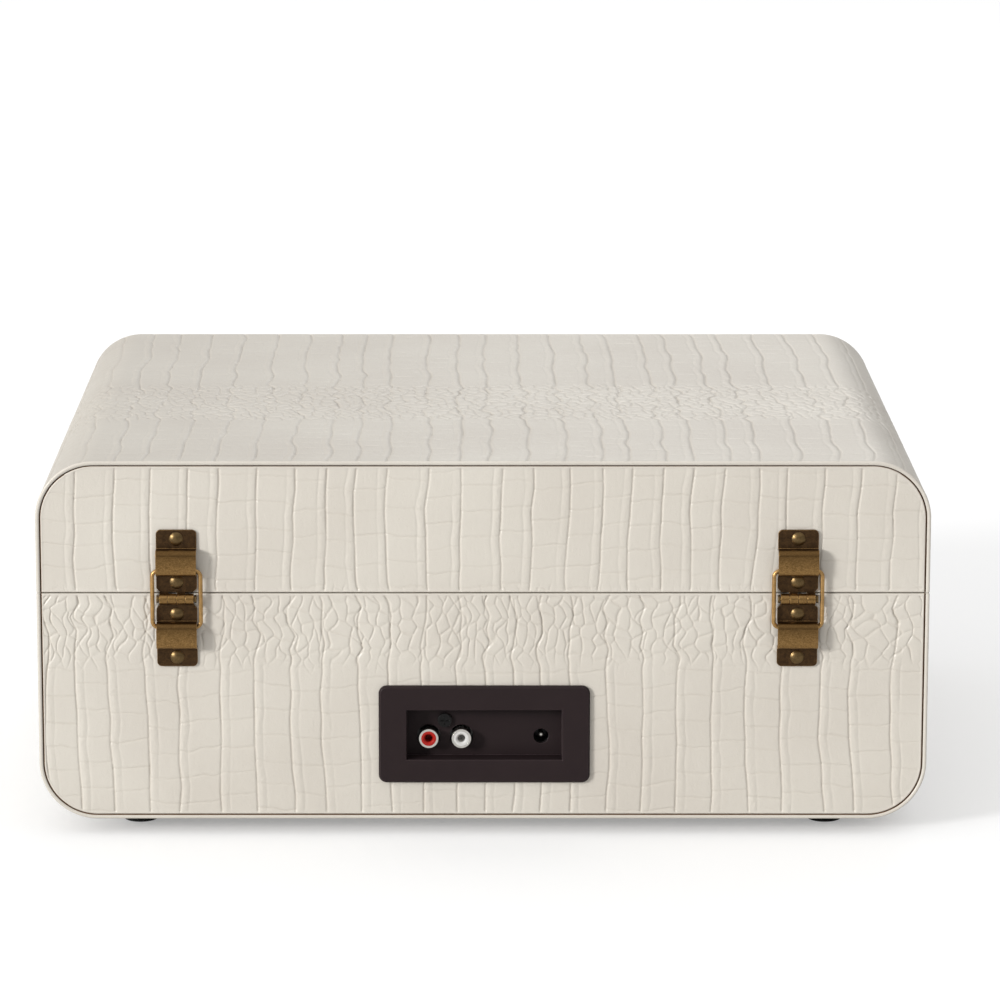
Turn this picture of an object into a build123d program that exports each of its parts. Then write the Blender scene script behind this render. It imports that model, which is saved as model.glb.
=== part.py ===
"""Suitcase record player, closed, standing on its feet. Millimetres, +Z up, front towards -Y.

The origin is on the table plane, under the middle of the case. The case is a bent-board tube with
rounded corners, cut into a deep base and a shallow lid, and closed at both ends by flat panels.
"""

import os
from math import cos, radians, sin

from build123d import *

os.makedirs("parts", exist_ok=True)

# ---------------------------------------------------------------- case
case_width = 380.0
case_depth = 320.0
case_corner = 25.0
foot_height = 7.0
foot_x = 148.5
foot_y = 132.7
foot_radius = 9.0
foot_tip_radius = 7.5
foot_screw = 1.8
foot_recess = 4.4  # sunk hole for the foot's screw head
foot_edge = 1.2
through = 40.0  # length of a cut that must pass right through
base_top = 106.2
lid_bottom = 106.6
case_top = 163.5
case_height = case_top - foot_height
case_mid_z = (case_top + foot_height) / 2
wrap_thickness = 1.7  # padded covering of the tube; its edge is the rim seen round each end
panel_vinyl = 1.2
seam_gap = 0.4
board = 8.0
front_y = -case_depth / 2
rear_y = case_depth / 2
panel_outer = case_depth / 2 - panel_vinyl
panel_inner = panel_outer - board
cavity_inset = wrap_thickness + board
cavity_half_x = case_width / 2 - cavity_inset
lining = 0.6
corner_block = 12.0
corner_block_height = 34.0

# ---------------------------------------------------------------- rear hinges
hinge_x = 132.0
hinge_shift = -1.8  # both hinges sit this far off the middle of the case
pin_y = rear_y + 2.45
pin_z = 104.35
pin_radius = 1.0
running_gap = 0.05
barrel_radius = 2.4
knuckle_width = 3.5
knuckle_pitch = 3.7
leaf_half_width = 8.6
sheet = 0.8
leaf_back = -2.4  # sheet's back face, measured outward from the pin axis
leaf_start = 2.7  # distances along the leaf, from the pin axis
leaf_end = 29.7
leaf_corner = 2.0
leaf_notch = 1.6
knuckle_overlap = 0.4
hinge_pin_length = 16.2
pin_head_radius = 1.7
pin_head_length = 0.9
tunnel_start = 10.8
tunnel_end = 20.8
tunnel_bend = 2.0  # inside radius of the tunnel's corners
tunnel_top = 2.5
ring_half_height = 12.25
ring_half_width = 10.25
ring_wire = 0.9
ring_out = 0.09  # the ring's plane, outward from the pin axis
ring_corner = 2.6
hinge_rivets = (6.95, 25.7)

# ---------------------------------------------------------------- rivets
rivet_head = 3.0
rivet_rise = 1.1
rivet_shank = 1.4
rivet_hole = 1.45
rivet_depth = 8.0

# ---------------------------------------------------------------- front latches and handle
latch_x = 132.0
latch_pin_y = front_y - 3.3
latch_pin_z = 93.0
latch_barrel = 2.1
latch_rivets_z = (72.0, 84.0)
latch_pin_length = 21.0
latch_head_x = 10.1
latch_head_radius = 1.6
plate = 1.0
plate_corner = 2.0
latch_plate_width = 20.0
latch_plate_height = 31.0
latch_plate_z = 81.5
lug_x = 7.2  # middles of the two outer knuckles, either side of the hasp's
lug_width = 5.0
lug_foot = (5.0, 2.8, 2.0)
hasp_knuckle = 8.8
hasp_cut = 5.4
hasp_curl_out = 3.4
hasp_curl_up = 5.0
hasp_half_width = 8.0
hasp_inner = 3.1  # hasp's inner face, in front of the case
hasp_top = 126.0
keeper_low = 109.5
keeper_high = 128.0
keeper_width = 18.0
keeper_rivet_x = 4.2
keeper_rivet_z = 113.5
bead_length = 13.0
bead_z = 121.0
bead_radius = 1.5
handle_x = 56.0
handle_pin_y = front_y - 9.0
handle_pin_z = 64.0
handle_pin_radius = 1.5
handle_pin_length = 17.0
handle_head_x = 8.0
handle_head_radius = 2.6
bracket_width = 18.0
bracket_height = 34.0
bracket_corner = 3.0
bracket_rivet_z = 12.5
bracket_ear = 3.4  # radius of the ears' rounded ends
bracket_half_gap = 5.2
bracket_half_width = 7.2
handle_drop = 27.0
grip_half_thickness = 4.4
grip_knuckle = 5.2
grip_knuckle_width = 10.0
grip_half_depth = 6.0
grip_bend = 18.0
grip_start = 1.5  # the strap starts this far below the pins
grip_bore_gap = 0.08

# ---------------------------------------------------------------- rear sockets
bezel_x = -0.6
bezel_width = 90.3
bezel_height = 42.5
bezel_z = 44.8
bezel_rise = 2.0
bezel_corner = 3.5
bezel_edge = 0.7
recess_edge = 0.35
recess_width = 66.4
recess_height = 21.7
recess_z = 44.55
recess_floor = rear_y - 7.0
tub_wall = 2.0
socket_cut_width = recess_width + 2 * tub_wall + 1.0
socket_cut_height = recess_height + 2 * tub_wall + 1.0
socket_z = 42.0
red_x = 23.2
white_x = 9.2
dc_x = -25.0
rca_radius = 4.15
rca_clearance = 5.1
rca_insert = 3.2
rca_contact = 1.7  # bore for the plug's centre pin
rca_bore_floor = 4.0  # its end stands this far from the socket's root
rca_lead_in = 0.6
rca_tip = rear_y - 2.0
rca_root = rear_y - 13.0
dc_bore = 3.25
dc_well = 9.5                 # depth of the well round the power pin
dc_pin = 1.0
dc_pin_length = 8.8
dc_pin_root = 0.8             # thinner part of the pin, held in the socket's body
dc_root_length = 2.0
io_board_y = rear_y - 22.0
pcb = 1.6
socket_screw_x = 16.4
socket_screw_z = 49.2
jack_front = recess_floor - tub_wall
dc_pin_foot = jack_front - dc_well + 0.2

# ---------------------------------------------------------------- deck
deck_top = base_top - 6.0
deck_thickness = 3.0
deck_under = deck_top - deck_thickness
deck_gap = 0.5
platter_x = -28.0
platter_radius = 100.0
well_radius = 105.0
well_wall = 2.5
well_floor = deck_top - 6.0
well_under = well_floor - 2.5
platter_top = base_top + 1.5
platter_disc = 1.7
mat_thickness = 1.5
mat_top = platter_top + mat_thickness
belt_rim = 62.0
spindle_radius = 3.55
spindle_top = mat_top + 12.0
hub_radius = 12.0
clip_low = platter_top + 0.5
clip_thickness = 0.7
clip_groove = 2.9
belt_thickness = 0.7
belt_low = 98.3
belt_high = 102.7
motor_reach = 85.0
motor_angle = 135.0
motor_x = platter_x + motor_reach * cos(radians(motor_angle))
motor_y = motor_reach * sin(radians(motor_angle))
pulley_radius = 6.2
motor_radius = 16.0
motor_length = 25.0
shaft_radius = 1.0
speaker_x = 144.0
speaker_y = -112.0
speaker_radius = 33.0
grille_radius = 34.0
adapter_x = -146.0
adapter_y = 112.0
adapter_radius = 19.0
volume_at = (104.0, -134.0)
mode_at = (80.0, -134.0)
speed_at = (131.0, 30.0)
autostop_at = (131.0, -22.0)
headphone_at = (58.0, -136.0)
knob_shaft = 3.0
knob_gap = 0.6
knob_edge = 1.2
flutes = 30
flute_radius = 0.45

# ---------------------------------------------------------------- tonearm
arm_x = 138.0
arm_y = 98.0
arm_angle = 4.0  # the parked arm points this far outboard of straight ahead
arm_z = 120.0
arm_length = 205.0  # pivot to stylus
tube_radius = 3.0
swivel_post = 5.0
pedestal_radius = 16.0
pedestal_top = 110.0
trunnion_radius = 1.5
yoke_half_gap = 8.2
head_angle = -18.0
stylus_tip = mat_top + 2.2
rest_reach = 150.0
lift_reach = 21.0
lift_top = 112.4
cue_offset = 22.0

arm_plane = Plane(
    origin=(arm_x, arm_y, 0),
    x_dir=(cos(radians(arm_angle)), sin(radians(arm_angle)), 0),
    z_dir=(0, 0, 1),
)


def at_y(y):
    """A sketch plane facing the front at depth y: local axes are X and Z, and extrude runs towards -Y."""
    return Plane.XZ.offset(-y)


def write(piece, name):
    """Labels a finished piece and writes its STEP file."""
    piece.part.label = name
    export_step(piece.part, f"parts/{name}.step")


def case_outline(inset, low, high):
    """The case's rounded end outline, inset from its outside, kept between two heights."""
    with Locations((0, case_mid_z)):
        RectangleRounded(case_width - 2 * inset, case_height - 2 * inset, case_corner - inset)
    with Locations((0, (low + high) / 2)):
        Rectangle(case_width, high - low, mode=Mode.INTERSECT)


def tube(outer, inner, low, high, half_length):
    """A stretch of the case's tube wall, open at both ends, between two insets and two heights."""
    with BuildPart() as wall:
        with BuildSketch(at_y(half_length)):
            case_outline(outer, low, high)
        extrude(amount=2 * half_length)
        with BuildSketch(at_y(half_length)):
            with Locations((0, case_mid_z)):
                RectangleRounded(
                    case_width - 2 * inner, case_height - 2 * inner, case_corner - inner
                )
        extrude(amount=2 * half_length, mode=Mode.SUBTRACT)
    return wall


def end_sheet(inset, low, high, outer_y, thickness):
    """A flat sheet with the case's end outline, its outer face at outer_y if that is the rear."""
    with BuildPart() as flat:
        with BuildSketch(at_y(outer_y)):
            case_outline(inset, low, high)
        extrude(amount=thickness)
    return flat


def rivet_holes(spots, face_y):
    """Holes for rivets through whatever stands at face_y, at a list of (x, z)."""
    with Locations(*[(x, face_y, z) for x, z in spots]):
        Cylinder(rivet_hole, 2 * rivet_depth, rotation=(90, 0, 0), mode=Mode.SUBTRACT)


def rivets(spots, seat_y, outward):
    """Domed rivets at a list of (x, z), heads standing outward (+1 rear, -1 front) from seat_y."""
    dome = (rivet_head**2 + rivet_rise**2) / (2 * rivet_rise)
    for x, z in spots:
        with BuildSketch(Plane((x, seat_y, z), x_dir=(1, 0, 0), z_dir=(0, 0, 1))) as half:
            with BuildLine():
                head = RadiusArc((rivet_head, 0), (0, outward * rivet_rise), -outward * dome)
                Polyline(
                    head @ 1,
                    (0, -outward * rivet_depth),
                    (rivet_shank, -outward * rivet_depth),
                    (rivet_shank, 0),
                    head @ 0,
                )
            make_face()
        revolve(half.sketch, axis=Axis((x, seat_y, z), (0, 1, 0)))


both_sides = (-1, 1)
hinge_middles = [hinge_shift + s * hinge_x for s in both_sides]
hinge_low_spots = [(x, pin_z - r) for x in hinge_middles for r in hinge_rivets]
hinge_high_spots = [(x, pin_z + r) for x in hinge_middles for r in hinge_rivets]
latch_spots = [(s * latch_x, z) for s in both_sides for z in latch_rivets_z]
bracket_spots = [(s * handle_x, handle_pin_z + t * bracket_rivet_z) for s in both_sides for t in both_sides]
keeper_spots = [(s * latch_x + t * keeper_rivet_x, keeper_rivet_z) for s in both_sides for t in both_sides]

# ================================================================ lid
lid_shell = tube(wrap_thickness, cavity_inset, lid_bottom, case_top, panel_inner)
write(lid_shell, "lid_shell")

with BuildPart() as lid_end_panels:
    add(end_sheet(wrap_thickness, lid_bottom, case_top, panel_outer, board).part)
    add(end_sheet(wrap_thickness, lid_bottom, case_top, -panel_inner, board).part)
    rivet_holes(hinge_high_spots, rear_y)
    rivet_holes(keeper_spots, front_y)
write(lid_end_panels, "lid_end_panels")

lid_wrap_vinyl = tube(0, wrap_thickness, lid_bottom, case_top, rear_y)
write(lid_wrap_vinyl, "lid_wrap_vinyl")

vinyl_inset = wrap_thickness + seam_gap
with BuildPart() as lid_end_vinyls:
    add(end_sheet(vinyl_inset, lid_bottom, case_top, rear_y, panel_vinyl).part)
    add(end_sheet(vinyl_inset, lid_bottom, case_top, -panel_outer, panel_vinyl).part)
    rivet_holes(hinge_high_spots, rear_y)
    rivet_holes(keeper_spots, front_y)
write(lid_end_vinyls, "lid_end_vinyls")

with BuildPart() as lid_lining:
    with BuildSketch(at_y(panel_inner)):
        case_outline(cavity_inset, lid_bottom, case_top)
    extrude(amount=2 * panel_inner)
    with BuildSketch(at_y(panel_inner - lining)):
        with Locations((0, case_mid_z)):
            RectangleRounded(
                case_width - 2 * (cavity_inset + lining),
                case_height - 2 * (cavity_inset + lining),
                case_corner - cavity_inset - lining,
            )
    extrude(amount=2 * (panel_inner - lining), mode=Mode.SUBTRACT)
write(lid_lining, "lid_lining")

# ================================================================ base box
with BuildPart() as base_shell:
    add(tube(wrap_thickness, cavity_inset, foot_height, base_top, panel_inner).part)
    block_x = cavity_half_x - corner_block / 2
    block_y = panel_inner - corner_block / 2
    with GridLocations(2 * block_x, 2 * block_y, 2, 2):
        with Locations((0, 0, deck_under - corner_block_height / 2)):
            Box(corner_block, corner_block, corner_block_height)
    with GridLocations(2 * block_x, 2 * block_y, 2, 2):
        with Locations((0, 0, deck_under)):
            Cylinder(1.3, 30, mode=Mode.SUBTRACT)
    with GridLocations(2 * foot_x, 2 * foot_y, 2, 2):
        with Locations((0, 0, foot_height)):
            Cylinder(foot_screw + 0.1, 2 * cavity_inset - 2, mode=Mode.SUBTRACT)
write(base_shell, "base_shell")

base_front_panel = end_sheet(wrap_thickness, foot_height, base_top, -panel_inner, board)
with base_front_panel:
    rivet_holes(latch_spots + bracket_spots, front_y)
write(base_front_panel, "base_front_panel")

base_rear_panel = end_sheet(wrap_thickness, foot_height, base_top, panel_outer, board)
with base_rear_panel:
    rivet_holes(hinge_low_spots, rear_y)
    with Locations((bezel_x, rear_y, recess_z)):
        Box(socket_cut_width, 4 * board, socket_cut_height, mode=Mode.SUBTRACT)
write(base_rear_panel, "base_rear_panel")

base_wrap_vinyl = tube(0, wrap_thickness, foot_height, base_top, rear_y)
with base_wrap_vinyl:
    with GridLocations(2 * foot_x, 2 * foot_y, 2, 2):
        with Locations((0, 0, foot_height)):
            Cylinder(foot_screw + 0.1, 4 * wrap_thickness, mode=Mode.SUBTRACT)
write(base_wrap_vinyl, "base_wrap_vinyl")

base_front_vinyl = end_sheet(vinyl_inset, foot_height, base_top, -panel_outer, panel_vinyl)
with base_front_vinyl:
    rivet_holes(latch_spots + bracket_spots, front_y)
write(base_front_vinyl, "base_front_vinyl")

base_rear_vinyl = end_sheet(vinyl_inset, foot_height, base_top, rear_y, panel_vinyl)
with base_rear_vinyl:
    rivet_holes(hinge_low_spots, rear_y)
    with Locations((bezel_x, rear_y, recess_z)):
        Box(socket_cut_width, 4 * board, socket_cut_height, mode=Mode.SUBTRACT)
write(base_rear_vinyl, "base_rear_vinyl")

with BuildPart() as feet:
    with GridLocations(2 * foot_x, 2 * foot_y, 2, 2):
        with Locations((0, 0, foot_height)):
            Cone(
                foot_radius,
                foot_tip_radius,
                foot_height,
                rotation=(180, 0, 0),
                align=(Align.CENTER, Align.CENTER, Align.MIN),
            )
            Cylinder(foot_screw + 0.1, 4 * foot_height, mode=Mode.SUBTRACT)
        Cylinder(foot_recess, foot_height, mode=Mode.SUBTRACT)
    tip_edges = feet.edges().filter_by(GeomType.CIRCLE).group_by(Axis.Z)[0]
    fillet(tip_edges.group_by(SortBy.RADIUS)[-1], foot_edge)
write(feet, "feet")

# ================================================================ hinges
barrel_offsets = [knuckle_pitch * (i - 1.5) for i in range(4)]


def hinge_leaf(side, knuckles):
    """Both hinges' leaves on one side of the pin: side is +1 for the lid's, -1 for the base's."""
    with BuildPart() as leaf:
        with BuildSketch(Plane.YZ.offset(hinge_middles[-1])):
            with Locations((pin_y + leaf_back + sheet / 2, pin_z + side * (leaf_start + leaf_end) / 2)):
                Rectangle(sheet, leaf_end - leaf_start)
            tunnel_mid = pin_z + side * (tunnel_start + tunnel_end) / 2
            height = 2 * (tunnel_top - leaf_back)
            with Locations((pin_y + leaf_back, tunnel_mid)):
                RectangleRounded(
                    height + 2 * sheet, tunnel_end - tunnel_start + 2 * sheet, tunnel_bend + sheet
                )
                RectangleRounded(height, tunnel_end - tunnel_start, tunnel_bend, mode=Mode.SUBTRACT)
            with Locations((pin_y + leaf_back + height / 2, pin_z)):
                Rectangle(height, 4 * leaf_end, mode=Mode.INTERSECT)
        extrude(amount=leaf_half_width, both=True)
        near_z, far_z = (0, -1) if side > 0 else (-1, 0)
        corners = leaf.edges().filter_by(Axis.Y).group_by(Axis.Z)
        fillet(corners[far_z], leaf_corner)
        chamfer(leaf.edges().filter_by(Axis.Y).group_by(Axis.Z)[near_z], leaf_notch)
        for offset in knuckles:
            x = hinge_middles[-1] + offset
            with Locations((x, pin_y + leaf_back + sheet / 2, pin_z + side * leaf_start / 2)):
                Box(knuckle_width, sheet, leaf_start + knuckle_overlap)
            with Locations((x, pin_y, pin_z)):
                Cylinder(barrel_radius, knuckle_width, rotation=(0, 90, 0))
        with Locations((hinge_middles[-1], pin_y, pin_z)):
            Cylinder(pin_radius + running_gap, 4 * leaf_half_width, rotation=(0, 90, 0), mode=Mode.SUBTRACT)
        rivet_holes([(hinge_middles[-1], pin_z + side * r) for r in hinge_rivets], rear_y)
        mirror(about=Plane.YZ.offset(hinge_shift))
    return leaf


write(hinge_leaf(-1, barrel_offsets[0::2]), "hinge_leaves_base")
write(hinge_leaf(+1, barrel_offsets[1::2]), "hinge_leaves_lid")

with BuildPart() as hinge_pins:
    for middle in hinge_middles:
        with Locations((middle, pin_y, pin_z)):
            Cylinder(pin_radius, hinge_pin_length, rotation=(0, 90, 0))
        with Locations(*[(middle + s * hinge_pin_length / 2, pin_y, pin_z) for s in both_sides]):
            Cylinder(pin_head_radius, pin_head_length, rotation=(0, 90, 0))
write(hinge_pins, "hinge_pins")


def stay_ring(middle):
    """A closed rectangular wire loop through both tunnels of the hinge in the middle of which x lies."""
    ring_plane = Plane(origin=(middle, pin_y + ring_out, pin_z), x_dir=(1, 0, 0), z_dir=(0, -1, 0))
    with BuildPart() as ring:
        with BuildLine(ring_plane) as loop:
            for half in both_sides:
                FilletPolyline(
                    (0, ring_half_height),
                    (half * ring_half_width, ring_half_height),
                    (half * ring_half_width, -ring_half_height),
                    (0, -ring_half_height),
                    radius=ring_corner,
                )
        with BuildSketch(Plane(ring_plane.from_local_coords((0, ring_half_height, 0)), z_dir=(1, 0, 0))):
            Circle(ring_wire)
        sweep(path=loop.wires()[0])
    return ring


write(stay_ring(hinge_middles[0]), "stay_ring_left")
write(stay_ring(hinge_middles[1]), "stay_ring_right")

# ================================================================ front latches
with BuildPart() as latch_plates:
    with Locations((latch_x, front_y - plate / 2, latch_plate_z)):
        Box(latch_plate_width, plate, latch_plate_height)
    fillet(latch_plates.edges().filter_by(Axis.Y), plate_corner)
    with Locations(*[(latch_x + s * lug_x, latch_pin_y, latch_pin_z) for s in both_sides]):
        Cylinder(latch_barrel, lug_width, rotation=(0, 90, 0))
        with Locations((0, lug_foot[1] / 2, -1.1)):
            Box(*lug_foot)
    with Locations((latch_x, latch_pin_y, latch_pin_z)):
        Cylinder(pin_radius + running_gap, through, rotation=(0, 90, 0), mode=Mode.SUBTRACT)
        Cylinder(pin_radius, latch_pin_length, rotation=(0, 90, 0))
        for end in both_sides:
            with Locations((end * latch_head_x, 0, 0)):
                Cylinder(latch_head_radius, pin_head_length, rotation=(0, 90, 0))
    rivet_holes([spot for spot in latch_spots if spot[0] > 0], front_y)
    mirror(about=Plane.YZ)
write(latch_plates, "latch_plates")


def latch_hasp(side):
    """The swinging hasp: a knuckle, a plate that lies over the keeper, and a curled finger tab."""
    x = side * latch_x
    inner_y = front_y - hasp_inner
    with BuildPart() as hasp:
        with BuildSketch(Plane.YZ.offset(x)):
            with BuildLine():
                straight = Line((inner_y - plate / 2, latch_pin_z), (inner_y - plate / 2, hasp_top))
                curl_end = (inner_y - plate / 2 - hasp_curl_out, hasp_top + hasp_curl_up)
                TangentArc(straight @ 1, curl_end, tangent=straight % 1)
                offset(amount=plate / 2)
            make_face()
        extrude(amount=hasp_half_width, both=True)
        with Locations((x, latch_pin_y, latch_pin_z)):
            Cylinder(latch_barrel, hasp_knuckle, rotation=(0, 90, 0))
            for end in both_sides:
                with Locations((end * lug_x, 0, 0)):
                    Cylinder(latch_barrel + 0.5, hasp_cut, rotation=(0, 90, 0), mode=Mode.SUBTRACT)
            Cylinder(pin_radius + running_gap, through, rotation=(0, 90, 0), mode=Mode.SUBTRACT)
    return hasp


write(latch_hasp(-1), "latch_hasp_left")
write(latch_hasp(+1), "latch_hasp_right")

with BuildPart() as latch_keepers:
    with Locations((latch_x, front_y - plate / 2, (keeper_low + keeper_high) / 2)):
        Box(keeper_width, plate, keeper_high - keeper_low)
    fillet(latch_keepers.edges().filter_by(Axis.Y), plate_corner)
    with Locations((latch_x, front_y - plate, bead_z)):
        Cylinder(bead_radius, bead_length, rotation=(0, 90, 0))
    with Locations((latch_x, front_y + through / 2, bead_z)):
        Box(through, through, through, mode=Mode.SUBTRACT)
    rivet_holes([spot for spot in keeper_spots if spot[0] > 0], front_y)
    mirror(about=Plane.YZ)
write(latch_keepers, "latch_keepers")

# ================================================================ handle
with BuildPart() as handle_brackets:
    with Locations((handle_x, front_y - plate / 2, handle_pin_z)):
        Box(bracket_width, plate, bracket_height)
    fillet(handle_brackets.edges().filter_by(Axis.Y), bracket_corner)
    with BuildSketch(Plane.YZ.offset(handle_x)):
        with Locations((handle_pin_y, handle_pin_z)):
            Circle(bracket_ear)
        with Locations(((handle_pin_y + front_y - plate / 2) / 2, handle_pin_z)):
            Rectangle(abs(handle_pin_y - front_y) - plate / 2, 2 * bracket_ear)
    extrude(amount=bracket_half_width, both=True)
    with Locations((handle_x, front_y - plate - through / 2, handle_pin_z)):
        Box(2 * bracket_half_gap, through, 4 * bracket_ear, mode=Mode.SUBTRACT)
    with Locations((handle_x, handle_pin_y, handle_pin_z)):
        Cylinder(handle_pin_radius, handle_pin_length, rotation=(0, 90, 0))
        for end in both_sides:
            with Locations((end * handle_head_x, 0, 0)):
                Cylinder(handle_head_radius, plate, rotation=(0, 90, 0))
    rivet_holes([spot for spot in bracket_spots if spot[0] > 0], front_y)
    mirror(about=Plane.YZ)
write(handle_brackets, "handle_brackets")

with BuildPart() as handle_grip:
    grip_plane = Plane(origin=(0, handle_pin_y, handle_pin_z), x_dir=(1, 0, 0), z_dir=(0, -1, 0))
    with BuildLine(grip_plane) as grip_path:
        FilletPolyline(
            (-handle_x, -grip_start),
            (-handle_x, -handle_drop),
            (handle_x, -handle_drop),
            (handle_x, -grip_start),
            radius=grip_bend,
        )
    with BuildSketch(Plane(grip_path.line @ 0, x_dir=(1, 0, 0), z_dir=grip_path.line % 0)):
        Ellipse(grip_half_thickness, grip_half_depth)
    sweep(path=grip_path.line)
    for side in both_sides:
        with Locations((side * handle_x, handle_pin_y, handle_pin_z)):
            Cylinder(grip_knuckle, grip_knuckle_width, rotation=(0, 90, 0))
            Cylinder(handle_pin_radius + grip_bore_gap, through, rotation=(0, 90, 0), mode=Mode.SUBTRACT)
write(handle_grip, "handle_grip")

with BuildPart() as base_rivets:
    rivets(hinge_low_spots, pin_y + leaf_back + sheet, +1)
    rivets(latch_spots + bracket_spots, front_y - plate, -1)
write(base_rivets, "base_rivets")

with BuildPart() as lid_rivets:
    rivets(hinge_high_spots, pin_y + leaf_back + sheet, +1)
    rivets(keeper_spots, front_y - plate, -1)
write(lid_rivets, "lid_rivets")

# ================================================================ rear sockets
with BuildPart() as io_bezel:
    with BuildSketch(at_y(rear_y + bezel_rise)):
        with Locations((bezel_x, bezel_z)):
            RectangleRounded(bezel_width, bezel_height, bezel_corner)
    extrude(amount=bezel_rise)
    chamfer(io_bezel.faces().sort_by(Axis.Y)[-1].edges(), bezel_edge)
    with Locations((bezel_x, (recess_floor - tub_wall + rear_y + 1) / 2, recess_z)):
        Box(
            recess_width + 2 * tub_wall,
            rear_y + 1 - recess_floor + tub_wall,
            recess_height + 2 * tub_wall,
        )
    with Locations((bezel_x, recess_floor + through / 2, recess_z)):
        Box(recess_width, through, recess_height, mode=Mode.SUBTRACT)
    front_face = io_bezel.faces().sort_by(Axis.Y)[-1]
    chamfer(front_face.inner_wires()[0].edges(), recess_edge)
    with Locations((red_x, recess_floor, socket_z), (white_x, recess_floor, socket_z)):
        Cylinder(rca_clearance, through / 2, rotation=(90, 0, 0), mode=Mode.SUBTRACT)
    with Locations((dc_x, recess_floor, socket_z)):
        Cylinder(dc_bore + 0.05, 20, rotation=(90, 0, 0), mode=Mode.SUBTRACT)
    with Locations((socket_screw_x, recess_floor, socket_screw_z)):
        Cylinder(1.6, 20, rotation=(90, 0, 0), mode=Mode.SUBTRACT)
write(io_bezel, "io_bezel")

with BuildPart() as jack_contacts:
    for x in (red_x, white_x):
        with Locations((x, (rca_tip + rca_root) / 2, socket_z)):
            Cylinder(rca_radius, rca_tip - rca_root, rotation=(90, 0, 0))
            Cylinder(rca_insert, through, rotation=(90, 0, 0), mode=Mode.SUBTRACT)
    with Locations((dc_x, dc_pin_foot + dc_pin_length / 2, socket_z)):
        Cylinder(dc_pin, dc_pin_length, rotation=(90, 0, 0))
    with Locations((dc_x, dc_pin_foot - dc_root_length / 2, socket_z)):
        Cylinder(dc_pin_root, dc_root_length, rotation=(90, 0, 0))
write(jack_contacts, "jack_contacts")


def rca_plug_insert(x):
    """The coloured insulator inside one socket's shell."""
    with BuildPart() as insert:
        with Locations((x, (rca_tip + rca_root) / 2, socket_z)):
            Cylinder(rca_insert, rca_tip - rca_root, rotation=(90, 0, 0))
            with Locations((0, rca_bore_floor, 0)):
                Cylinder(rca_contact, rca_tip - rca_root, rotation=(90, 0, 0), mode=Mode.SUBTRACT)
        mouth = insert.edges().filter_by(GeomType.CIRCLE).group_by(Axis.Y)[-1].sort_by(SortBy.RADIUS)[0]
        chamfer(mouth, rca_lead_in)
    return insert


write(rca_plug_insert(red_x), "rca_insert_red")
write(rca_plug_insert(white_x), "rca_insert_white")

with BuildPart() as dc_jack:
    with Locations((dc_x, (jack_front + io_board_y + pcb) / 2, socket_z)):
        Box(11, jack_front - io_board_y - pcb, 11)
    with Locations((dc_x, jack_front - dc_well / 2, socket_z)):
        Cylinder(dc_bore, dc_well, rotation=(90, 0, 0), mode=Mode.SUBTRACT)
    with Locations((dc_x, dc_pin_foot - dc_root_length / 2, socket_z)):
        Cylinder(dc_pin_root + 0.05, dc_root_length + 0.1, rotation=(90, 0, 0), mode=Mode.SUBTRACT)
write(dc_jack, "dc_jack")

with BuildPart() as io_board:
    with Locations((-2, io_board_y + pcb / 2, socket_z + 3)):
        Box(74, pcb, 24)
    with Locations(((red_x + white_x) / 2, (rca_root + io_board_y + pcb) / 2, socket_z)):
        Box(27, rca_root - io_board_y - pcb, 12)
    with Locations((socket_screw_x, (jack_front + io_board_y + pcb) / 2, socket_screw_z + 2)):
        Box(9, jack_front - io_board_y - pcb, 8)
    with Locations((socket_screw_x, recess_floor, socket_screw_z)):
        Cylinder(1.5, 30, rotation=(90, 0, 0), mode=Mode.SUBTRACT)
write(io_board, "io_board")

# ================================================================ deck and drive
with BuildPart() as deck:
    with Locations((0, 0, (deck_top + deck_under) / 2)):
        Box(2 * (cavity_half_x - deck_gap), 2 * (panel_inner - deck_gap), deck_thickness)
    fillet(deck.edges().filter_by(Axis.Z), 2.0)
    with Locations((platter_x, 0, (deck_top + well_under) / 2)):
        Cylinder(well_radius + well_wall, deck_top - well_under)
    with Locations((platter_x, 0, well_floor + 10)):
        Cylinder(well_radius, 20, mode=Mode.SUBTRACT)
    with Locations((platter_x, 0, well_floor + 1)):
        Cylinder(hub_radius - 2, 2)
        Cylinder(spindle_radius, 40, mode=Mode.SUBTRACT)
    with Locations((motor_x, motor_y, well_floor)):
        Cylinder(9.0, 20, mode=Mode.SUBTRACT)
    with GridLocations(2 * speaker_x, 0, 2, 1):
        with Locations((0, speaker_y, deck_top)):
            Cylinder(speaker_radius - 4, 20, mode=Mode.SUBTRACT)
    with Locations((adapter_x, adapter_y, deck_top)):
        Cylinder(adapter_radius + 3, 2 * 4.5)
    with Locations((adapter_x, adapter_y, deck_top + 5)):
        Cylinder(adapter_radius + 3.5, 10, mode=Mode.SUBTRACT)
    with Locations((adapter_x, adapter_y, deck_top)):
        Cylinder(adapter_radius + 0.5, 2 * 3.0, mode=Mode.SUBTRACT)
    with Locations((*volume_at, deck_top), (*mode_at, deck_top)):
        Cylinder(knob_shaft + 0.3, 20, mode=Mode.SUBTRACT)
    with Locations((*headphone_at, deck_top)):
        Cylinder(4.05, 20, mode=Mode.SUBTRACT)
    with Locations((speed_at[0], speed_at[1] + 6, deck_top)):
        Box(4.0, 19.0, 20, mode=Mode.SUBTRACT)
    with Locations((autostop_at[0], autostop_at[1] + 3, deck_top)):
        Box(4.0, 13.0, 20, mode=Mode.SUBTRACT)
    with Locations((arm_x, arm_y, deck_top)):
        Cylinder(8.0, 20, mode=Mode.SUBTRACT)
    with GridLocations(2 * block_x, 2 * block_y, 2, 2):
        with Locations((0, 0, deck_top)):
            Cylinder(1.7, 20, mode=Mode.SUBTRACT)
write(deck, "deck")

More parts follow.
